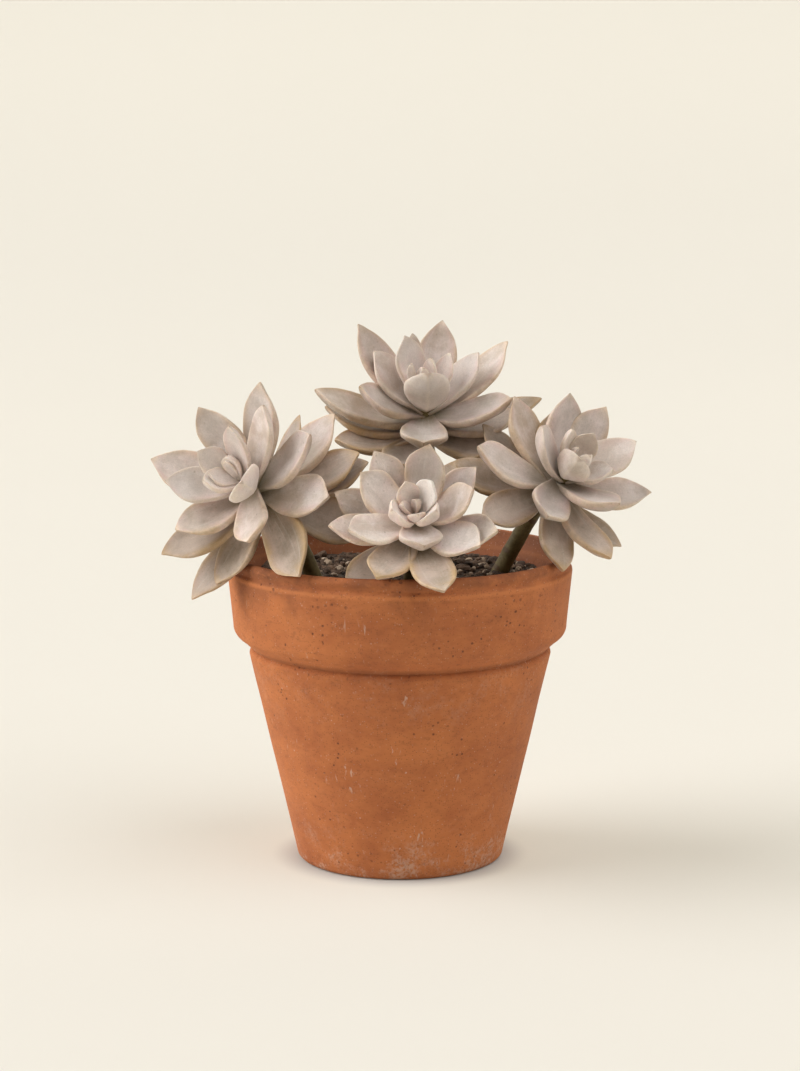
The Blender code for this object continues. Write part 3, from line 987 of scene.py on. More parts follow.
# ------------------------------------------------------------------------------ the plant
@dataclass(frozen=True)
class Leaf:
    """One leaf: its turn about and lean from the rosette's axis, length, width and start.

    down is how far below the crown's centre it leaves the stem, and roll turns it about itself.
    plump is its thickness over its width, blunt rounds its tip, pale gives it a chalky face and
    wear takes its bloom off: partly wear, partly painted shade on leaves that face the light.
    """

    name: str
    turn: float
    lean: float
    length: float
    width: float
    down: float
    roll: float = 0.0
    plump: float = 0.37
    blunt: float = 0.0
    pale: float = 0.0
    # Partly wear, partly painted shade on leaves that face the light.
    wear: float = 0.0

    WIDTHS = ((0.0, 0.36), (0.15, 0.52), (0.33, 0.79), (0.50, 0.96), (0.63, 1.0), (0.74, 0.92),
              (0.84, 0.69), (0.92, 0.37), (0.975, 0.12), (1.0, 0.0))
    DEPTHS = ((0.0, 0.60), (0.15, 0.84), (0.33, 1.0), (0.50, 1.0), (0.65, 0.95), (0.79, 0.82),
              (0.90, 0.60), (0.96, 0.38), (0.99, 0.18), (1.0, 0.0))
    # The same two along a blunt leaf or a bud, which end round instead of pointed.
    ROUND = ((0.0, 0.50), (0.20, 0.70), (0.45, 0.92), (0.66, 1.0), (0.80, 0.92), (0.90, 0.72),
             (0.96, 0.49), (0.99, 0.25), (1.0, 0.0))
    # Half outlines across the blade and across the point: (across, height, dish, rim, under);
    # dish is how far the height drops where the face is hollowed.
    BLADE = ((0.0, 0.34, 0.24, 0.0, 0.0), (0.45, 0.34, 0.16, 0.0, 0.0),
             (0.78, 0.345, 0.05, 0.1, 0.0), (0.92, 0.35, 0.0, 0.8, 0.0),
             (1.0, 0.27, 0.0, 1.0, 0.1), (1.01, 0.02, 0.0, 0.9, 0.45),
             (0.94, -0.15, 0.0, 0.45, 0.9), (0.57, -0.42, 0.0, 0.0, 1.0),
             (0.0, -0.66, 0.0, 0.0, 1.0))
    POINT = ((0.0, 0.26, 0.0, 0.0, 0.0), (0.45, 0.29, 0.0, 0.0, 0.0),
             (0.78, 0.33, 0.0, 0.1, 0.0), (0.93, 0.35, 0.0, 0.8, 0.0),
             (1.0, 0.28, 0.0, 1.0, 0.1), (0.93, 0.10, 0.0, 0.9, 0.45),
             (0.76, -0.10, 0.0, 0.45, 0.9), (0.42, -0.42, 0.0, 0.0, 1.0),
             (0.0, -0.74, 0.0, 0.0, 1.0))
    ROWS = 34
    CROWDING = 1.35          # how much closer the rows lie towards the tip
    OLD_FROM = 13
    ROLL_PLAY = 3.0
    SKEW = 0.09              # how unlike its two halves may be
    HOOK = 0.02              # how far the tip turns up, and the middle sags, over the length
    SAG = 0.055
    RIPPLE = 0.016           # waves of the edge, as a share of the half width
    TWIST = 0.04
    WOBBLE = ((0.11, 0.40), (0.38, 0.09))    # unevenness: bumps per mm, and their height

    @property
    def age(self) -> Age:
        """Old leaves are the lowest on the stem and those that hang."""
        old = self.down >= self.OLD_FROM or self.name.startswith("hanging")
        return Age.OLD if old else Age.GROWN

    @staticmethod
    def section(outline: Sequence[tuple[float, ...]]) -> np.ndarray:
        """Close a half outline into a ring and cut its corners once to round them.

        Args:
            outline: Half of the section, from the middle of the face to the keel.

        Returns:
            The ring's points, each with its dish, rim and under values.
        """
        half = [np.array(p) for p in outline]
        left = [p * [-1, 1, 1, 1, 1] for p in half[1:-1]]
        ring = np.array([half[0]] + left + [half[-1]] + half[-2:0:-1])
        following = np.roll(ring, -1, axis=0)
        return np.stack([0.75 * ring + 0.25 * following, 0.25 * ring + 0.75 * following],
                        axis=1).reshape(-1, 5)

    def directions(self, rosette: "Rosette",
                   luck: random.Random) -> tuple[np.ndarray, np.ndarray, np.ndarray]:
        """Find the leaf's own directions.

        Args:
            rosette: The rosette that it grows from.
            luck: Its own chance.

        Returns:
            Along it, out of its face and across it.
        """
        _, axis, across, ahead = rosette.frame()
        turn, lean = math.radians(self.turn), math.radians(self.lean)
        outward = math.cos(turn) * across + math.sin(turn) * ahead
        chord = math.cos(lean) * axis + math.sin(lean) * outward
        upper = math.sin(lean) * axis - math.cos(lean) * outward
        side = np.cross(chord, upper)
        roll = math.radians(self.roll + luck.uniform(-self.ROLL_PLAY, self.ROLL_PLAY))
        return (chord, math.cos(roll) * upper + math.sin(roll) * side,
                math.cos(roll) * side - math.sin(roll) * upper)

    def outline(self, share: np.ndarray, skew: float) -> tuple[list[np.ndarray], np.ndarray]:
        """Work out how wide and how deep the leaf is along its length.

        Args:
            share: Places along it, from 0 to 1.
            skew: How unlike its two halves are.

        Returns:
            The widths of its left and right halves, and its depths.
        """
        round_end = self.blunt * curve_through(self.ROUND, share)
        halves = []
        for way in (-1, 1):
            pointed = curve_through(self.WIDTHS,
                                    share + way * skew * np.sin(math.pi * share) ** 2)
            halves.append(((1.0 - self.blunt) * pointed + round_end) * self.width / 2)
        depth = (1.0 - self.blunt) * curve_through(self.DEPTHS, share) + round_end
        return halves, depth * self.plump * self.width

    def uneven(self, rings: list[np.ndarray]) -> np.ndarray:
        """Swell and pinch the skin a little, as grown flesh is.

        Args:
            rings: The rings of points along the leaf.

        Returns:
            All the points in one array.
        """
        skin = np.concatenate(rings)
        wobble = sum(np.array([noise.noise(Vector(p) * often) for p in skin]) * height
                     for often, height in self.WOBBLE)
        middle = np.repeat(np.array([p.mean(axis=0) for p in rings]), len(rings[0]), axis=0)
        out = skin - middle
        span = np.linalg.norm(out, axis=1, keepdims=True)
        return skin + out / np.maximum(span, 0.5) * wobble[:, None] * np.minimum(span / 4.0, 1.0)

    def add_to(self, stock: MeshStock, rosette: "Rosette", start: float) -> None:
        """Build the leaf's skin: a dished face, a thick soft edge and a keel beneath.

        Args:
            stock: Where the mesh goes.
            rosette: The rosette that it grows from.
            start: Distance from the stem's axis at which it begins.
        """
        luck = random.Random(rosette.name + self.name)
        centre, axis, _, _ = rosette.frame()
        chord, upper, side = self.directions(rosette, luck)
        root = centre - self.down * axis
        blade, point = self.section(self.BLADE), self.section(self.POINT)
        share = 1.0 - (1.0 - np.linspace(0.0, 1.0, self.ROWS)[:-1]) ** self.CROWDING
        halves, depth = self.outline(share, luck.uniform(-self.SKEW, self.SKEW))
        wave = luck.uniform(0, 6.3)
        points, sections = [], []
        for row, t in enumerate(share):
            reach = start + (self.length - start) * t
            hook = self.HOOK * float(ease(0.8, 1.0, np.array(t)))
            sag = self.length * (hook - self.SAG * math.sin(math.pi * t ** 0.9))
            dished = math.sin(math.pi * min(1.0, t * 1.06)) ** 0.6 if t < 0.94 else 0.0
            sharp = float(ease(0.55, 0.96, np.array(t)))
            ring = (1 - sharp) * blade + sharp * point
            sections.append(ring)
            u = ring[:, 0]
            half = np.where(u < 0, halves[0][row], halves[1][row])
            x = u * half * (1.0 + self.RIPPLE * math.sin(9.0 * t + wave))
            z = depth[row] * (ring[:, 1] - dished * ring[:, 2])
            z = z + self.TWIST * half * u * math.sin(5.0 * t + wave)
            base = root + reach * chord + sag * upper
            points.append(base[None, :] + x[:, None] * side[None, :] + z[:, None] * upper[None, :])
        skin = self.uneven(points)
        tip = root + self.length * (chord + self.HOOK * upper)
        table = np.concatenate(sections)
        along = np.repeat(share, len(blade))
        count = len(skin) + 2
        stock.add(np.vstack([skin, points[0].mean(axis=0), tip]),
                  capped_faces(len(points), len(blade)),
                  along=np.append(along, [0.0, 1.0]),
                  across=np.append(table[:, 0], [0.0, 0.0]),
                  rim=np.append(np.maximum(table[:, 3], ease(0.90, 0.985, along)), [0.0, 1.0]),
                  under=np.append(table[:, 4], [1.0, 0.5]),
                  seed=np.full(count, luck.random()),
                  pale=np.full(count, self.pale),
                  wear=np.full(count, self.wear))


@dataclass
class Rosette:
    """One rosette with its stem."""

    name: str
    centre: Place
    heading: float
    elevation: float
    foot: tuple[float, float]
    bend: Place
    heart: tuple[Leaf, ...]
    leaves: tuple[Leaf, ...]
    hidden: tuple[Leaf, ...] = ()
    core_radius: float = 2.7
    neck_radius: float = 3.2
    stem_radius: float = 3.7
    stem_depth: float = 9.0
    neck_drop: float = 17.0
    stem_steps: int = 46
    stem_rings: int = 150
    stem_around: int = 32

    def frame(self) -> tuple[np.ndarray, np.ndarray, np.ndarray, np.ndarray]:
        """Find the rosette's own directions; turn 0 lies to the right.

        Returns:
            Its centre, its axis and the two directions across it.
        """
        heading, rise = math.radians(self.heading), math.radians(self.elevation)
        axis = np.array([math.cos(heading) * math.cos(rise), math.sin(heading) * math.cos(rise),
                         math.sin(rise)])
        across = np.array([1.0, 0.0, 0.0]) - axis[0] * axis
        across /= np.linalg.norm(across)
        return np.array(self.centre, float), axis, across, np.cross(axis, across)

    def build_leaves(self, skins: dict[Age, bpy.types.Material]) -> None:
        """Build each leaf outside the heart as its own piece.

        Args:
            skins: The skin for each age.
        """
        for leaf in self.leaves + self.hidden:
            stock = MeshStock()
            leaf.add_to(stock, self, 1.2 / max(0.4, math.sin(math.radians(leaf.lean))))
            node = f"{self.name}_leaf_{leaf.name}"
            nodes = (node,) if leaf in self.leaves else ()
            stock.build(node + "_skin", skins[leaf.age], leaf.age.slot, nodes)

    def build_heart(self, skin: bpy.types.Material) -> None:
        """Build the buds and the young leaves round them as one piece.

        Args:
            skin: The skin of young leaves.
        """
        stock = MeshStock()
        for leaf in self.heart:
            leaf.add_to(stock, self, 0.3)
        stock.build(self.name + "_heart_skin", skin, Age.YOUNG.slot,
                    (self.name + "_rosette_heart",))

    def stem_course(self, soil: "SoilBed") -> tuple[np.ndarray, np.ndarray]:
        """Run the stem from its foot in the grit up through the bend into the crown.

        Args:
            soil: The grit it stands in.

        Returns:
            Points along the stem, and how far up it each lies.
        """
        centre, axis, _, _ = self.frame()
        foot = np.array([*self.foot, soil.height(*self.foot) - self.stem_depth])
        neck = centre - self.neck_drop * axis
        bend = np.array(self.bend, float)
        t = np.linspace(0.0, 1.0, self.stem_steps)[:, None]
        path = (1 - t) ** 2 * foot + 2 * t * (1 - t) * bend + t ** 2 * neck
        reach = np.linspace(1.0 - self.neck_drop, 1.5, 15)[:, None]
        path = np.vstack([path, centre + reach * axis])
        run = np.r_[0.0, np.cumsum(np.linalg.norm(np.diff(path, axis=0), axis=1))]
        fine = np.linspace(0.0, run[-1], self.stem_rings)
        path = np.stack([np.interp(fine, run, path[:, k]) for k in range(3)], axis=1)
        for _ in range(6):
            path[1:-1] = (path[:-2] + 2 * path[1:-1] + path[2:]) / 4
        return path, fine

    def build_stem(self, soil: "SoilBed", skin: bpy.types.Material) -> None:
        """Build the stem with its ringed joints and the scars of shed leaves.

        Args:
            soil: The grit it stands in.
            skin: Its finish.
        """
        path, run = self.stem_course(soil)
        luck = random.Random(self.name + "stem")
        scars = [(place, luck.uniform(0, FULL_TURN) + 2.4 * n)
                 for n, place in enumerate(np.arange(13.0, run[-1] - 8.0, 9.0))]
        normal = np.array([1.0, 0.0, 0.0])
        angle = np.linspace(0.0, FULL_TURN, self.stem_around, endpoint=False)
        points, marks = [], []
        for n, place in enumerate(path):
            ahead = path[min(n + 1, len(path) - 1)] - path[max(n - 1, 0)]
            ahead /= np.linalg.norm(ahead)
            normal = normal - normal.dot(ahead) * ahead
            normal /= np.linalg.norm(normal)
            other = np.cross(ahead, normal)
            share = n / (len(path) - 1)
            radius = self.stem_radius + (self.neck_radius - self.stem_radius) * min(1.0, share / 0.8)
            radius -= (self.neck_radius - self.core_radius) * float(ease(0.85, 0.95, np.array(share)))
            swell = np.zeros(self.stem_around)
            mark = np.zeros(self.stem_around)
            for where, side in scars:
                gap = run[n] - where
                turn = np.abs((angle - side + math.pi) % FULL_TURN - math.pi) * radius
                mark = np.maximum(mark, 1 - ease(0.55, 1.0, np.hypot(gap / 1.5, turn / 3.4)))
                swell += 0.30 * np.exp(-((gap + 0.9) / 1.3) ** 2 - (turn / 3.8) ** 2)
            joints = 0.03 * np.sin(run[n] * 1.9) + 0.07 * np.sin(3 * angle + run[n] * 0.3)
            r = (radius + swell + joints)[:, None]
            points.append(place + r * (np.cos(angle)[:, None] * normal
                                       + np.sin(angle)[:, None] * other))
            marks.append(mark)
        ends = [path[0], path[-1] + 1.2 * (path[-1] - path[-2])]
        stock = MeshStock()
        stock.add(np.vstack([*points, ends]), capped_faces(len(path), self.stem_around),
                  scar=np.append(np.concatenate(marks), [0.0, 0.0]))
        stock.build(self.name + "_stem_skin", skin, "stem_skin", (self.name + "_stem",))


# In these tables, wear is partly painted shade on leaves that face the light.
LEFT = Rosette(
    "left", (-66, -38, 171), 228, 29, (-33, -15), (-45, -20, 150),
    heart=(
        Leaf("bud", 84, 34, 12, 8, -2, plump=0.7, blunt=0.6),
        Leaf("nub", 95, 24, 11, 4, -2, plump=0.9, blunt=1.0),
        Leaf("a", 62, 40, 27, 13, 1, plump=0.40),
        Leaf("b", 136, 40, 23, 13, 0, plump=0.42),
        Leaf("c", 198, 33, 18, 12, 0, plump=0.52, blunt=0.3),
        Leaf("flat", 188, 24, 15.5, 9, -1, plump=0.45),
        Leaf("e", 318, 46, 27, 18, 1, plump=0.42, blunt=0.2),
        Leaf("f", 176, 54, 36, 17, 5, plump=0.38),
        Leaf("g", 44, 58, 38, 17, 5, plump=0.38),
    ),
    leaves=(
        Leaf("front", 280, 76, 33, 18, 6, wear=0.5),
        Leaf("upper_left", 108, 52, 42, 18, 8),
        Leaf("upper_right", 14, 76, 40, 19, 8),
        Leaf("lower_left", 209, 66, 38, 19, 9, wear=0.8),
        Leaf("top", 64, 66, 45, 19, 7),
        Leaf("far_left", 158, 56, 48, 19, 10),
        Leaf("right", 339, 91, 41, 20, 10),
        Leaf("back_right", 42, 100, 46, 20, 12),
        Leaf("hanging_right", 295, 91, 51, 21, 12, wear=0.5),
        Leaf("lower_left_outer", 209, 72, 50, 20, 14, wear=0.1),
        Leaf("hanging_left", 234, 94, 43, 19, 13),
        Leaf("hanging_left_outer", 226, 89, 54, 19, 16),
        Leaf("far_right", 15, 104, 45, 20, 15),
        Leaf("low_right", 334, 118, 49, 20, 18),
    ),
    hidden=(
        Leaf("behind_right", 64, 95, 38.5, 11, 14),
        Leaf("behind_low", 14, 112, 46, 18, 16),
        Leaf("behind_left", 197, 88, 37, 16, 14),
    ))

FRONT = Rosette(
    "front", (6, -58, 159), 268, 44, (5, -12), (5, -34, 138),
    heart=(
        Leaf("bud", 284, 34, 13, 8, -1, plump=0.5, blunt=0.4),
        Leaf("nub_left", 176, 34, 9.5, 4.2, -2, plump=0.95, blunt=1.0),
        Leaf("nub_right", 40, 8, 9.5, 4.2, -2, plump=0.95, blunt=1.0),
        Leaf("a", 42, 30, 19.5, 13, 0, plump=0.42, blunt=0.3, pale=1.0),
        Leaf("b", 117, 26, 18, 10.5, 0, plump=0.36, wear=0.5),
        Leaf("c", 205, 42, 15.5, 13, 0, plump=0.50, blunt=0.2),
        Leaf("d", 331, 42, 16, 13, 0, plump=0.50, blunt=0.2),
        Leaf("e", 282, 68, 21, 18, 2, roll=-12, plump=0.38),
        Leaf("f", 207, 64, 34, 17, 4, plump=0.36),
    ),
    leaves=(
        Leaf("right", 323, 71, 36, 18, 4),
        Leaf("upper_right", 8, 52, 32, 17, 5),
        Leaf("top", 74, 46, 35, 18, 6, wear=0.4),
        Leaf("upper_left", 146, 58, 32, 18, 6),
        Leaf("hanging_left", 243, 77, 36, 18, 7),
        Leaf("upper_left_outer", 123, 56, 37, 17, 9),
        Leaf("right_outer", 340, 67, 40, 18, 9),
        Leaf("hanging_right", 286, 71, 47, 18, 8, wear=0.65),
        Leaf("left", 192, 69, 39, 17, 9),
        Leaf("upper_right_outer", 38, 64, 37, 16, 10),
        Leaf("far_left", 155, 78, 38, 17, 12),
        Leaf("hanging_left_outer", 222, 92, 39, 18, 12),
    ),
    hidden=(
        Leaf("behind_top", 60, 72, 36, 15, 13),
    ))

TOP = Rosette(
    "top", (11, 8, 198), 272, 61, (14, 20), (17, 22, 160),
    heart=(
        Leaf("bud", 50, 9, 20.5, 7, -3, plump=0.6, blunt=0.4),
        Leaf("nub_left", 190, 20, 20.5, 4.6, -3, plump=0.95, blunt=1.0),
        Leaf("nub_low", 235, 8, 18, 8, -3, plump=0.55, blunt=0.8),
        Leaf("nub_back", 108, 37, 34, 9, 3, plump=0.5, blunt=0.4),
        Leaf("a", 272, 26, 28.5, 20, 1, plump=0.42, blunt=0.45),
        Leaf("b", 48, 38, 26, 11, 1, plump=0.42),
        Leaf("c", 128, 30, 32, 16, 0, plump=0.36),
        Leaf("e", 32, 52, 35, 17, 4, plump=0.36),
        Leaf("f", 150, 50, 35, 17, 4, plump=0.36),
    ),
    leaves=(
        Leaf("front", 268, 78, 30, 21, 6, wear=0.3),
        Leaf("upper_left", 141, 50, 51, 18, 8),
        Leaf("upper_back", 78, 52, 46, 18, 8),
        Leaf("left", 190, 58, 35, 18, 6, wear=0.3),
        Leaf("right", 345, 66, 42, 20, 7, wear=0.35),
        Leaf("far_left", 179, 72, 51, 20, 10, wear=0.8),
        Leaf("upper_right", 31, 56, 51, 17, 10),
        Leaf("lower_left", 172, 81, 45, 20, 14, wear=0.1),
        Leaf("lower_right", 356, 77, 42, 19, 12),
        Leaf("far_right", 15, 82, 54, 19, 14),
        Leaf("under_left", 196, 86, 41, 20, 15),
        Leaf("under_right", 330, 84, 36, 20, 15),
        Leaf("under_front", 243, 84, 32, 19, 16),
    ),
    hidden=(
        Leaf("behind_right", 24, 100, 30, 15, 16),
        Leaf("behind_left", 112, 98, 27, 15, 17),
    ))

RIGHT = Rosette(
    "right", (71, -20, 172), 312, 42, (39, 2), (54, -3, 149),
    heart=(
        Leaf("bud", 290, 14, 13, 7, -4, plump=0.75, blunt=0.9),
        Leaf("nub", 140, 20, 12.5, 3.4, -2, plump=0.95, blunt=1.0),
        Leaf("a", 350, 45, 21, 13, 1, plump=0.42),
        Leaf("b", 132, 35, 20.5, 9, 0, plump=0.55, blunt=0.2),
        Leaf("c", 78, 25, 21.5, 12, 0, plump=0.38),
        Leaf("d", 238, 30, 20, 16, 0, plump=0.50, blunt=0.5),
        Leaf("e", 168, 50, 30, 17, 4, plump=0.38),
        Leaf("f", 30, 50, 36, 18, 4, plump=0.36),
    ),
    leaves=(
        Leaf("front", 250, 80, 32, 19, 6),
        Leaf("lower_right", 306, 52, 35, 19, 7),
        Leaf("top", 104, 54, 39, 18, 7),
        Leaf("upper_right", 71, 50, 41, 17, 9),
        Leaf("left", 180, 85, 42, 19, 9),
        Leaf("upper_left", 128, 77, 43, 19, 10, wear=0.45),
        Leaf("hanging_right", 302, 82, 43, 18, 10),
        Leaf("far_right", 3, 68, 43, 17, 11),
        Leaf("hanging_front", 278, 95, 42, 17, 12),
        Leaf("hanging_left", 218, 99, 41, 18, 13),
        Leaf("under_left", 180, 94, 46, 19, 16),
    ),
    hidden=(
        Leaf("behind_top", 99, 70, 37, 16, 13),
        Leaf("behind_left", 138, 95, 42, 17, 14),
        Leaf("low_right", 342, 95, 40, 15, 14),
    ))

ROSETTES = (LEFT, FRONT, TOP, RIGHT)


# ------------------------------------------------------------------------------ pot and soil
@dataclass
class ClayPot:
    """The thrown pot: tapered body, deep collar, rounded lip."""

    height: float = 135.6
    rim_radius: float = 75.0
    mouth_radius: float = 71.4
    collar_bottom: float = 104.0
    collar_low_radius: float = 72.6
    collar_round: float = 5.6
    waist_height: float = 94.6
    waist_radius: float = 65.7
    waist_round: float = 3.4
    foot_radius: float = 45.3
    foot_round: float = 2.6
    lip_round: float = 2.4
    lip_inner_round: float = 1.2
    wall: float = 6.2
    floor: float = 9.0
    segments: int = 220
    out_of_true: float = 0.0028
    lip_sag: float = 0.25

    @staticmethod
    def arc(centre: tuple[float, float], radius: float, start: float, end: float,
            steps: int) -> list[tuple[float, float]]:
        """Draw an arc of the outline.

        Args:
            centre: Its middle.
            radius: Its radius.
            start: The angle that it starts at, in degrees.
            end: The angle that it ends at.
            steps: How many straight steps it takes.

        Returns:
            Its points.
        """
        turn = [math.radians(start + (end - start) * i / steps) for i in range(steps + 1)]
        return [(centre[0] + radius * math.cos(a), centre[1] + radius * math.sin(a)) for a in turn]

    def outer_line(self) -> list[tuple[float, float]]:
        """Draw the outside from the middle of the underside up to the mouth.

        Returns:
            Points as (radius, height).
        """
        line = [(0.0, 0.0), (self.foot_radius * 0.5, 0.0)]
        line += self.arc((self.foot_radius - self.foot_round, self.foot_round), self.foot_round,
                         -90, -8, 7)
        line += [(self.foot_radius + (self.waist_radius - self.foot_radius) * t,
                  self.foot_round + (self.waist_height - 3.6 - self.foot_round) * t)
                 for t in np.linspace(0.04, 1.0, 26)]
        line += self.arc((self.waist_radius - self.waist_round, self.waist_height - 3.8),
                         self.waist_round, 8, 58, 8)
        line += [(self.waist_radius - r, self.waist_height - z)
                 for r, z in ((1.30, 0.62), (0.6, 0.15))]
        line += self.arc((self.collar_low_radius - self.collar_round, self.collar_bottom - 0.4),
                         self.collar_round, -64, 0, 10)
        line += [(self.collar_low_radius + (self.rim_radius - self.collar_low_radius) * t,
                  self.collar_bottom + (self.height - 8.0 - self.collar_bottom) * t)
                 for t in np.linspace(0.08, 1.0, 10)]
        line += [(self.rim_radius - r, self.height - z)
                 for r, z in ((0.12, 7.0), (0.50, 6.3), (1.0, 5.8), (1.05, 5.2))]
        line += self.arc((self.rim_radius - 2.5, self.height - 2.5), self.lip_round, -28, 90, 10)
        return line + self.arc((self.mouth_radius + 1.2, self.height - 1.3),
                               self.lip_inner_round, 90, 172, 6)

    def inner_line(self) -> list[tuple[float, float]]:
        """Draw the inside from the mouth down to the middle of the floor.

        Returns:
            Points as (radius, height).
        """
        return [(self.mouth_radius - 1.0, self.height - 4.5),
                (self.mouth_radius - 2.6, self.height - 8.0),
                (67.2, self.height - 12.0), (65.8, self.height - 16.0),
                (self.waist_radius - self.wall + 1.2, self.waist_height),
                (self.foot_radius - self.wall + 2.0, self.floor + 2.0),
                (self.foot_radius - self.wall - 1.0, self.floor), (0.0, self.floor)]

    def build(self, clay: bpy.types.Material) -> None:
        """Turn the outline, a hair out of true as a thrown pot is.

        Args:
            clay: The clay's finish.
        """
        body = np.array((self.outer_line() + self.inner_line())[1:-1])
        angle = np.linspace(0.0, FULL_TURN, self.segments, endpoint=False)
        lip = next(i for i, (r, z) in enumerate(body)
                   if z > self.height - 2 and r < self.mouth_radius + 0.9)
        points, inside = [], []
        for n, (r, z) in enumerate(body):
            rough = np.array([noise.noise(Vector((math.cos(a) * 3.1, math.sin(a) * 3.1, z * 0.05)))
                              for a in angle])
            true = 1.0 + rough * self.out_of_true * (1 if z > 1 else 0)
            drop = self.lip_sag * rough if z > self.height - 8 else 0.0
            points.append(np.stack([r * true * np.cos(angle), r * true * np.sin(angle),
                                    z + drop * np.ones_like(angle)], axis=1))
            inside.append(np.full(self.segments, float(n > lip)))
        stock = MeshStock()
        stock.add(np.vstack([*points, [[0, 0, 0.0], [0, 0, self.floor]]]),
                  capped_faces(len(body), self.segments),
                  inside=np.append(np.concatenate(inside), [0.0, 1.0]))
        stock.build("clay_pot_skin", clay, "terracotta", ("clay_pot",))


@dataclass
class SoilBed:
    """The grit in the pot, with loose crumbs, bark and perlite on top."""

    level: float = 123.4
    crown: float = 2.0
    lump: float = 1.1
    wall_radius: float = 67.0
    bottom: float = 96.0
    around: int = 120
    rings: int = 44
    crumbs: int = 2600
    barks: int = 170
    perlites: int = 210

    def height(self, x: float, y: float) -> float:
        """Find the broad height of the grit, low at the wall.

        Args:
            x: Where, to the right.
            y: Where, to the back.

        Returns:
            The height there.
        """
        radius = math.hypot(x, y)
        swell = self.crown * max(0.0, 1.0 - (radius / 62.0) ** 2)
        lumps = (math.sin(0.31 * x + 0.7) * math.cos(0.27 * y - 0.4)
                 + 0.6 * math.sin(0.71 * x - 0.33 * y) + 0.4 * math.cos(0.9 * y + 0.55 * x))
        fade = min(1.0, max(0.0, (66.0 - radius) / 8.0))
        return self.level + swell + 0.5 * self.lump * lumps * fade

    def build_bed(self, finish: bpy.types.Material) -> None:
        """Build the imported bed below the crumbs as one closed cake.

        Args:
            finish: Its finish.
        """
        angle = np.linspace(0.0, FULL_TURN, self.around, endpoint=False)
        points = [np.stack([r * np.cos(angle), r * np.sin(angle), np.full(self.around, z)], axis=1)
                  for r, z in ((40.0, self.bottom), (64.4, 110.0))]
        for k in range(self.rings):
            r = self.wall_radius * (1 - k / self.rings)
            x, y = r * np.cos(angle), r * np.sin(angle)
            z = [self.height(a, b) + 1.3 * noise.noise(Vector((a, b, 0)) * 0.45)
                 + 0.5 * noise.noise(Vector((a, b, 7)) * 1.3) for a, b in zip(x, y)]
            points.append(np.stack([x, y, z], axis=1))
        middles = [[0, 0, self.bottom], [0, 0, self.height(0, 0)]]
        skin = np.vstack([*points, middles])
        stock = MeshStock()
        stock.add(skin, capped_faces(len(points), self.around), seed=np.full(len(skin), 0.4))
        stock.build("grit_bed", finish, "potting_grit", ("potting_grit",))

    def scatter(self, name: str, finish: bpy.types.Material, count: int,
                sizes: tuple[float, float], flat: float, long: float, sink: float) -> None:
        """Strew grains over the bed.

        Args:
            name: The piece's name.
            finish: Its material.
            count: How many grains.
            sizes: Smallest and largest radius.
            flat: Least thickness over width.
            long: Greatest length over width.
            sink: How far a grain sits in the bed, as a share of its radius.
        """
        luck = random.Random(name)
        ball = bpy.data.meshes.new("ball")
        bm = bmesh.new()
        bmesh.ops.create_icosphere(bm, subdivisions=2, radius=1.0)
        bm.to_mesh(ball)
        bm.free()
        unit = np.array([v.co for v in ball.vertices])
        faces = [tuple(p.vertices) for p in ball.polygons]
        bpy.data.meshes.remove(ball)
        stock = MeshStock()
        for _ in range(count):
            radius = self.wall_radius * 0.965 * math.sqrt(luck.random())
            turn = luck.uniform(0, FULL_TURN)
            x, y = radius * math.cos(turn), radius * math.sin(turn)
            size = sizes[0] + (sizes[1] - sizes[0]) * luck.random() ** 2.2
            if radius + size > self.wall_radius - 0.6:
                continue
            shift = Vector((luck.uniform(0, 99), luck.uniform(0, 99), luck.uniform(0, 99)))
            shape = np.array([1 + 0.42 * noise.noise(Vector(p) * 1.4 + shift) for p in unit])
            grain = unit * shape[:, None] * [luck.uniform(1.0, long), 1.0, luck.uniform(flat, 1.0)]
            spin, tilt = luck.uniform(0, FULL_TURN), luck.uniform(-0.6, 0.6)
            c, s, ct, st = math.cos(spin), math.sin(spin), math.cos(tilt), math.sin(tilt)
            turned = grain @ np.array([[ct, 0, -st], [0, 1, 0], [st, 0, ct]])
            turned = turned @ np.array([[c, s, 0], [-s, c, 0], [0, 0, 1]])
            base = self.height(x, y) + size * (1 - sink) * luck.uniform(0.3, 1.0)
            stock.add(turned * size + [x, y, base], faces,
                      seed=np.full(len(unit), luck.random()))
        stock.build(name, finish, "potting_grit", faceted=True)

    def build(self) -> None:
        """Build the bed and everything strewn on it."""
        dark = GrainFinish("potting grit", (0.036, 0.021, 0.012), (0.085, 0.052, 0.032))
        self.build_bed(dark.make())
        crumb = GrainFinish("grit crumbs", (0.030, 0.016, 0.009), (0.180, 0.106, 0.062)).make()
        self.scatter("grit_crumbs", crumb, self.crumbs, (0.45, 1.5), 0.6, 1.5, 0.35)
        bark = GrainFinish("bark chips", (0.040, 0.020, 0.011), (0.160, 0.095, 0.058)).make()
        self.scatter("bark_chips", bark, self.barks, (1.1, 2.4), 0.35, 1.8, 0.3)
        pale = GrainFinish("perlite", (0.34, 0.24, 0.16), (0.60, 0.47, 0.35), 0.9,
                           (0.20, 0.15, 0.11)).make()
        self.scatter("perlite_grains", pale, self.perlites, (0.5, 1.7), 0.65, 1.4, 0.3)


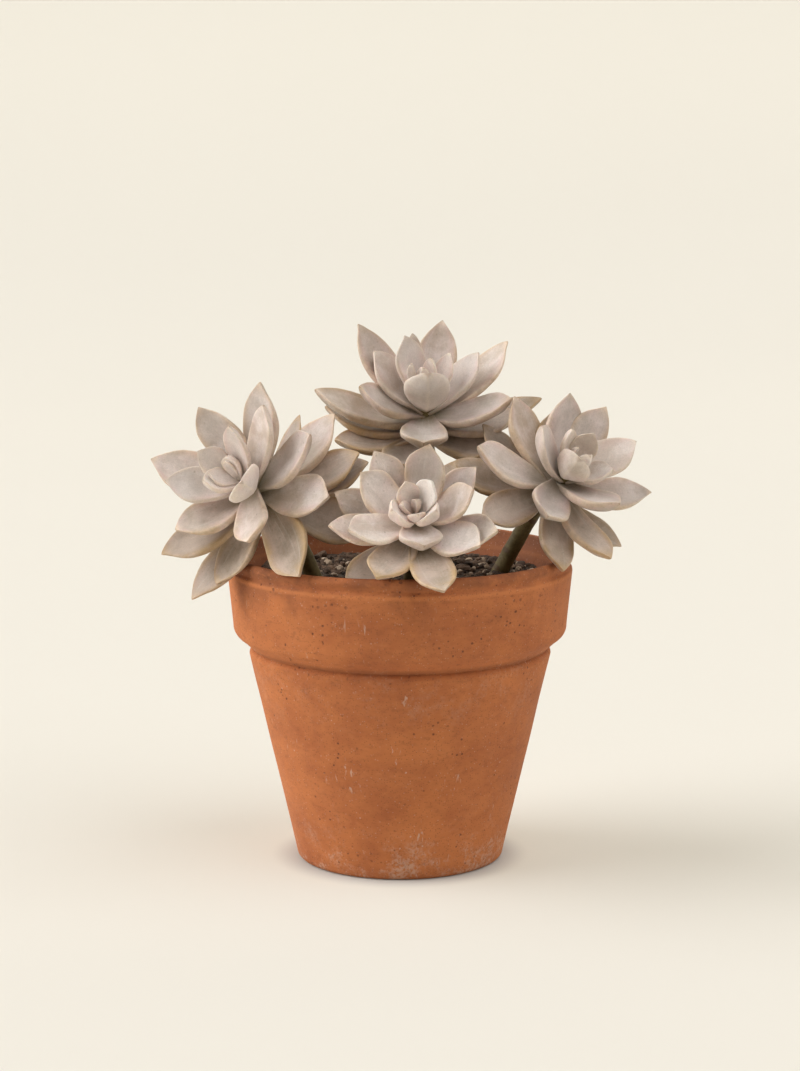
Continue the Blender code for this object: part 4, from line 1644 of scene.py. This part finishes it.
# ------------------------------------------------------------------------------ studio
@dataclass
class Studio:
    """Pale paper sweep, a broad low light from the left, a weaker one from the front right, a dim
    sky and the camera. Metres.
    """

    camera_distance: float = 1.200
    camera_height: float = 0.338
    pitch: float = 9.28
    lens: float = 94.08
    key_power: float = 3.50
    key_towards: Place = (1.0, -0.04, -0.64)
    key_colour: Colour = (1.0, 0.985, 0.965)
    side_power: float = 1.50
    side_towards: Place = (-0.75, 0.40, -1.1)
    side_colour: Colour = (1.0, 0.985, 0.96)
    spread: float = 62.0
    sky: float = 0.16
    sky_colour: Colour = (1.0, 0.985, 0.965)
    paper_front: float = -30.0
    paper_turn: float = 1.6
    paper_round: float = 1.8
    paper_top: float = 5.0
    paper_half_width: float = 15.0

    def build_paper(self) -> None:
        """Lay the paper sweep, flat under the pot and curving up far behind it."""
        depth = [(self.paper_front, 0.0), (self.paper_turn, 0.0)]
        depth += [(self.paper_turn + self.paper_round * math.sin(a),
                   self.paper_round * (1.0 - math.cos(a)))
                  for a in np.linspace(0.1, math.pi / 2, 18)]
        depth.append((self.paper_turn + self.paper_round, self.paper_top))
        points = [(x, y, z) for y, z in depth
                  for x in (-self.paper_half_width, self.paper_half_width)]
        faces = [(2 * i, 2 * i + 1, 2 * i + 3, 2 * i + 2) for i in range(len(depth) - 1)]
        mesh = bpy.data.meshes.new("paper_sweep")
        mesh.from_pydata(points, [], faces)
        mesh.shade_smooth()
        mesh.materials.append(PaperFinish().make())
        paper = bpy.data.objects.new("paper_sweep", mesh)
        bpy.context.scene.collection.objects.link(paper)

    def add_light(self, name: str, power: float, towards: Place, colour: Colour) -> None:
        """Hang one broad light, as even over the paper as a large soft box.

        Args:
            name: The light's name.
            power: Its strength.
            towards: The way its light travels.
            colour: Its colour.
        """
        lamp = bpy.data.lights.new(name, "SUN")
        lamp.energy = power
        lamp.angle = math.radians(self.spread)
        lamp.color = colour
        item = bpy.data.objects.new(name, lamp)
        item.location = (-towards[0], -towards[1], -towards[2])
        item.rotation_euler = Vector(towards).to_track_quat("-Z", "Y").to_euler()
        bpy.context.scene.collection.objects.link(item)

    def set_sky(self) -> None:
        """Set a dim, even sky."""
        world = bpy.data.worlds.new("soft sky")
        world.use_nodes = True
        back = next(n for n in world.node_tree.nodes if n.type == "BACKGROUND")
        back.inputs["Color"].default_value = (*self.sky_colour, 1.0)
        back.inputs["Strength"].default_value = self.sky
        bpy.context.scene.world = world

    def set_camera(self) -> None:
        """Stand the camera in front, a little above the pot and tilted down to it."""
        data = bpy.data.cameras.new("camera")
        data.sensor_fit = "VERTICAL"
        data.sensor_height = 36.0
        data.lens = self.lens
        data.clip_end = 50.0
        camera = bpy.data.objects.new("camera", data)
        camera.location = (0.0, -self.camera_distance, self.camera_height)
        camera.rotation_euler = (math.radians(90.0 - self.pitch), 0.0, 0.0)
        bpy.context.scene.collection.objects.link(camera)
        bpy.context.scene.camera = camera

    def build(self) -> None:
        """Set paper, lights, sky and camera."""
        self.build_paper()
        self.add_light("key", self.key_power, self.key_towards, self.key_colour)
        self.add_light("side", self.side_power, self.side_towards, self.side_colour)
        self.set_sky()
        self.set_camera()
        bpy.context.scene.view_settings.view_transform = "Standard"


# ------------------------------------------------------------------------------ build
def leaf_skins() -> dict[Age, bpy.types.Material]:
    """Make the skin for each age of leaf.

    Returns:
        The materials by age.
    """
    finishes = (
        LeafFinish(Age.YOUNG, bloom=(0.800, 0.716, 0.662), flesh=(0.540, 0.432, 0.352),
                   edge=(0.860, 0.740, 0.620), foot=(0.300, 0.240, 0.140),
                   blush=(0.780, 0.620, 0.590), bare_and_shaded_under=0.22, worn=0.24, margin=0.16,
                   roughness=0.54),
        LeafFinish(Age.GROWN, bloom=(0.745, 0.656, 0.604), flesh=(0.320, 0.238, 0.150),
                   edge=(0.900, 0.730, 0.570), foot=(0.200, 0.160, 0.066),
                   blush=(0.720, 0.550, 0.530), margin=0.42),
        LeafFinish(Age.OLD, bloom=(0.600, 0.490, 0.410), flesh=(0.240, 0.172, 0.095),
                   edge=(0.720, 0.530, 0.350), foot=(0.140, 0.108, 0.042),
                   blush=(0.520, 0.385, 0.330), bare_and_shaded_under=0.55, worn=0.50, margin=0.85))
    return {finish.age: finish.make() for finish in finishes}


def main() -> None:
    """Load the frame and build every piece."""
    logging.basicConfig(level=logging.INFO, format="%(message)s")
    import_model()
    Studio().build()
    ClayPot().build(ClayFinish().make())
    soil = SoilBed()
    soil.build()
    stem = StemFinish().make()
    skins = leaf_skins()
    for rosette in ROSETTES:
        rosette.build_stem(soil, stem)
        rosette.build_heart(skins[Age.YOUNG])
        rosette.build_leaves(skins)
        LOG.info("%s rosette: %d leaves, %d in the heart", rosette.name,
                 len(rosette.leaves + rosette.hidden), len(rosette.heart))


if __name__ == "__main__":
    main()
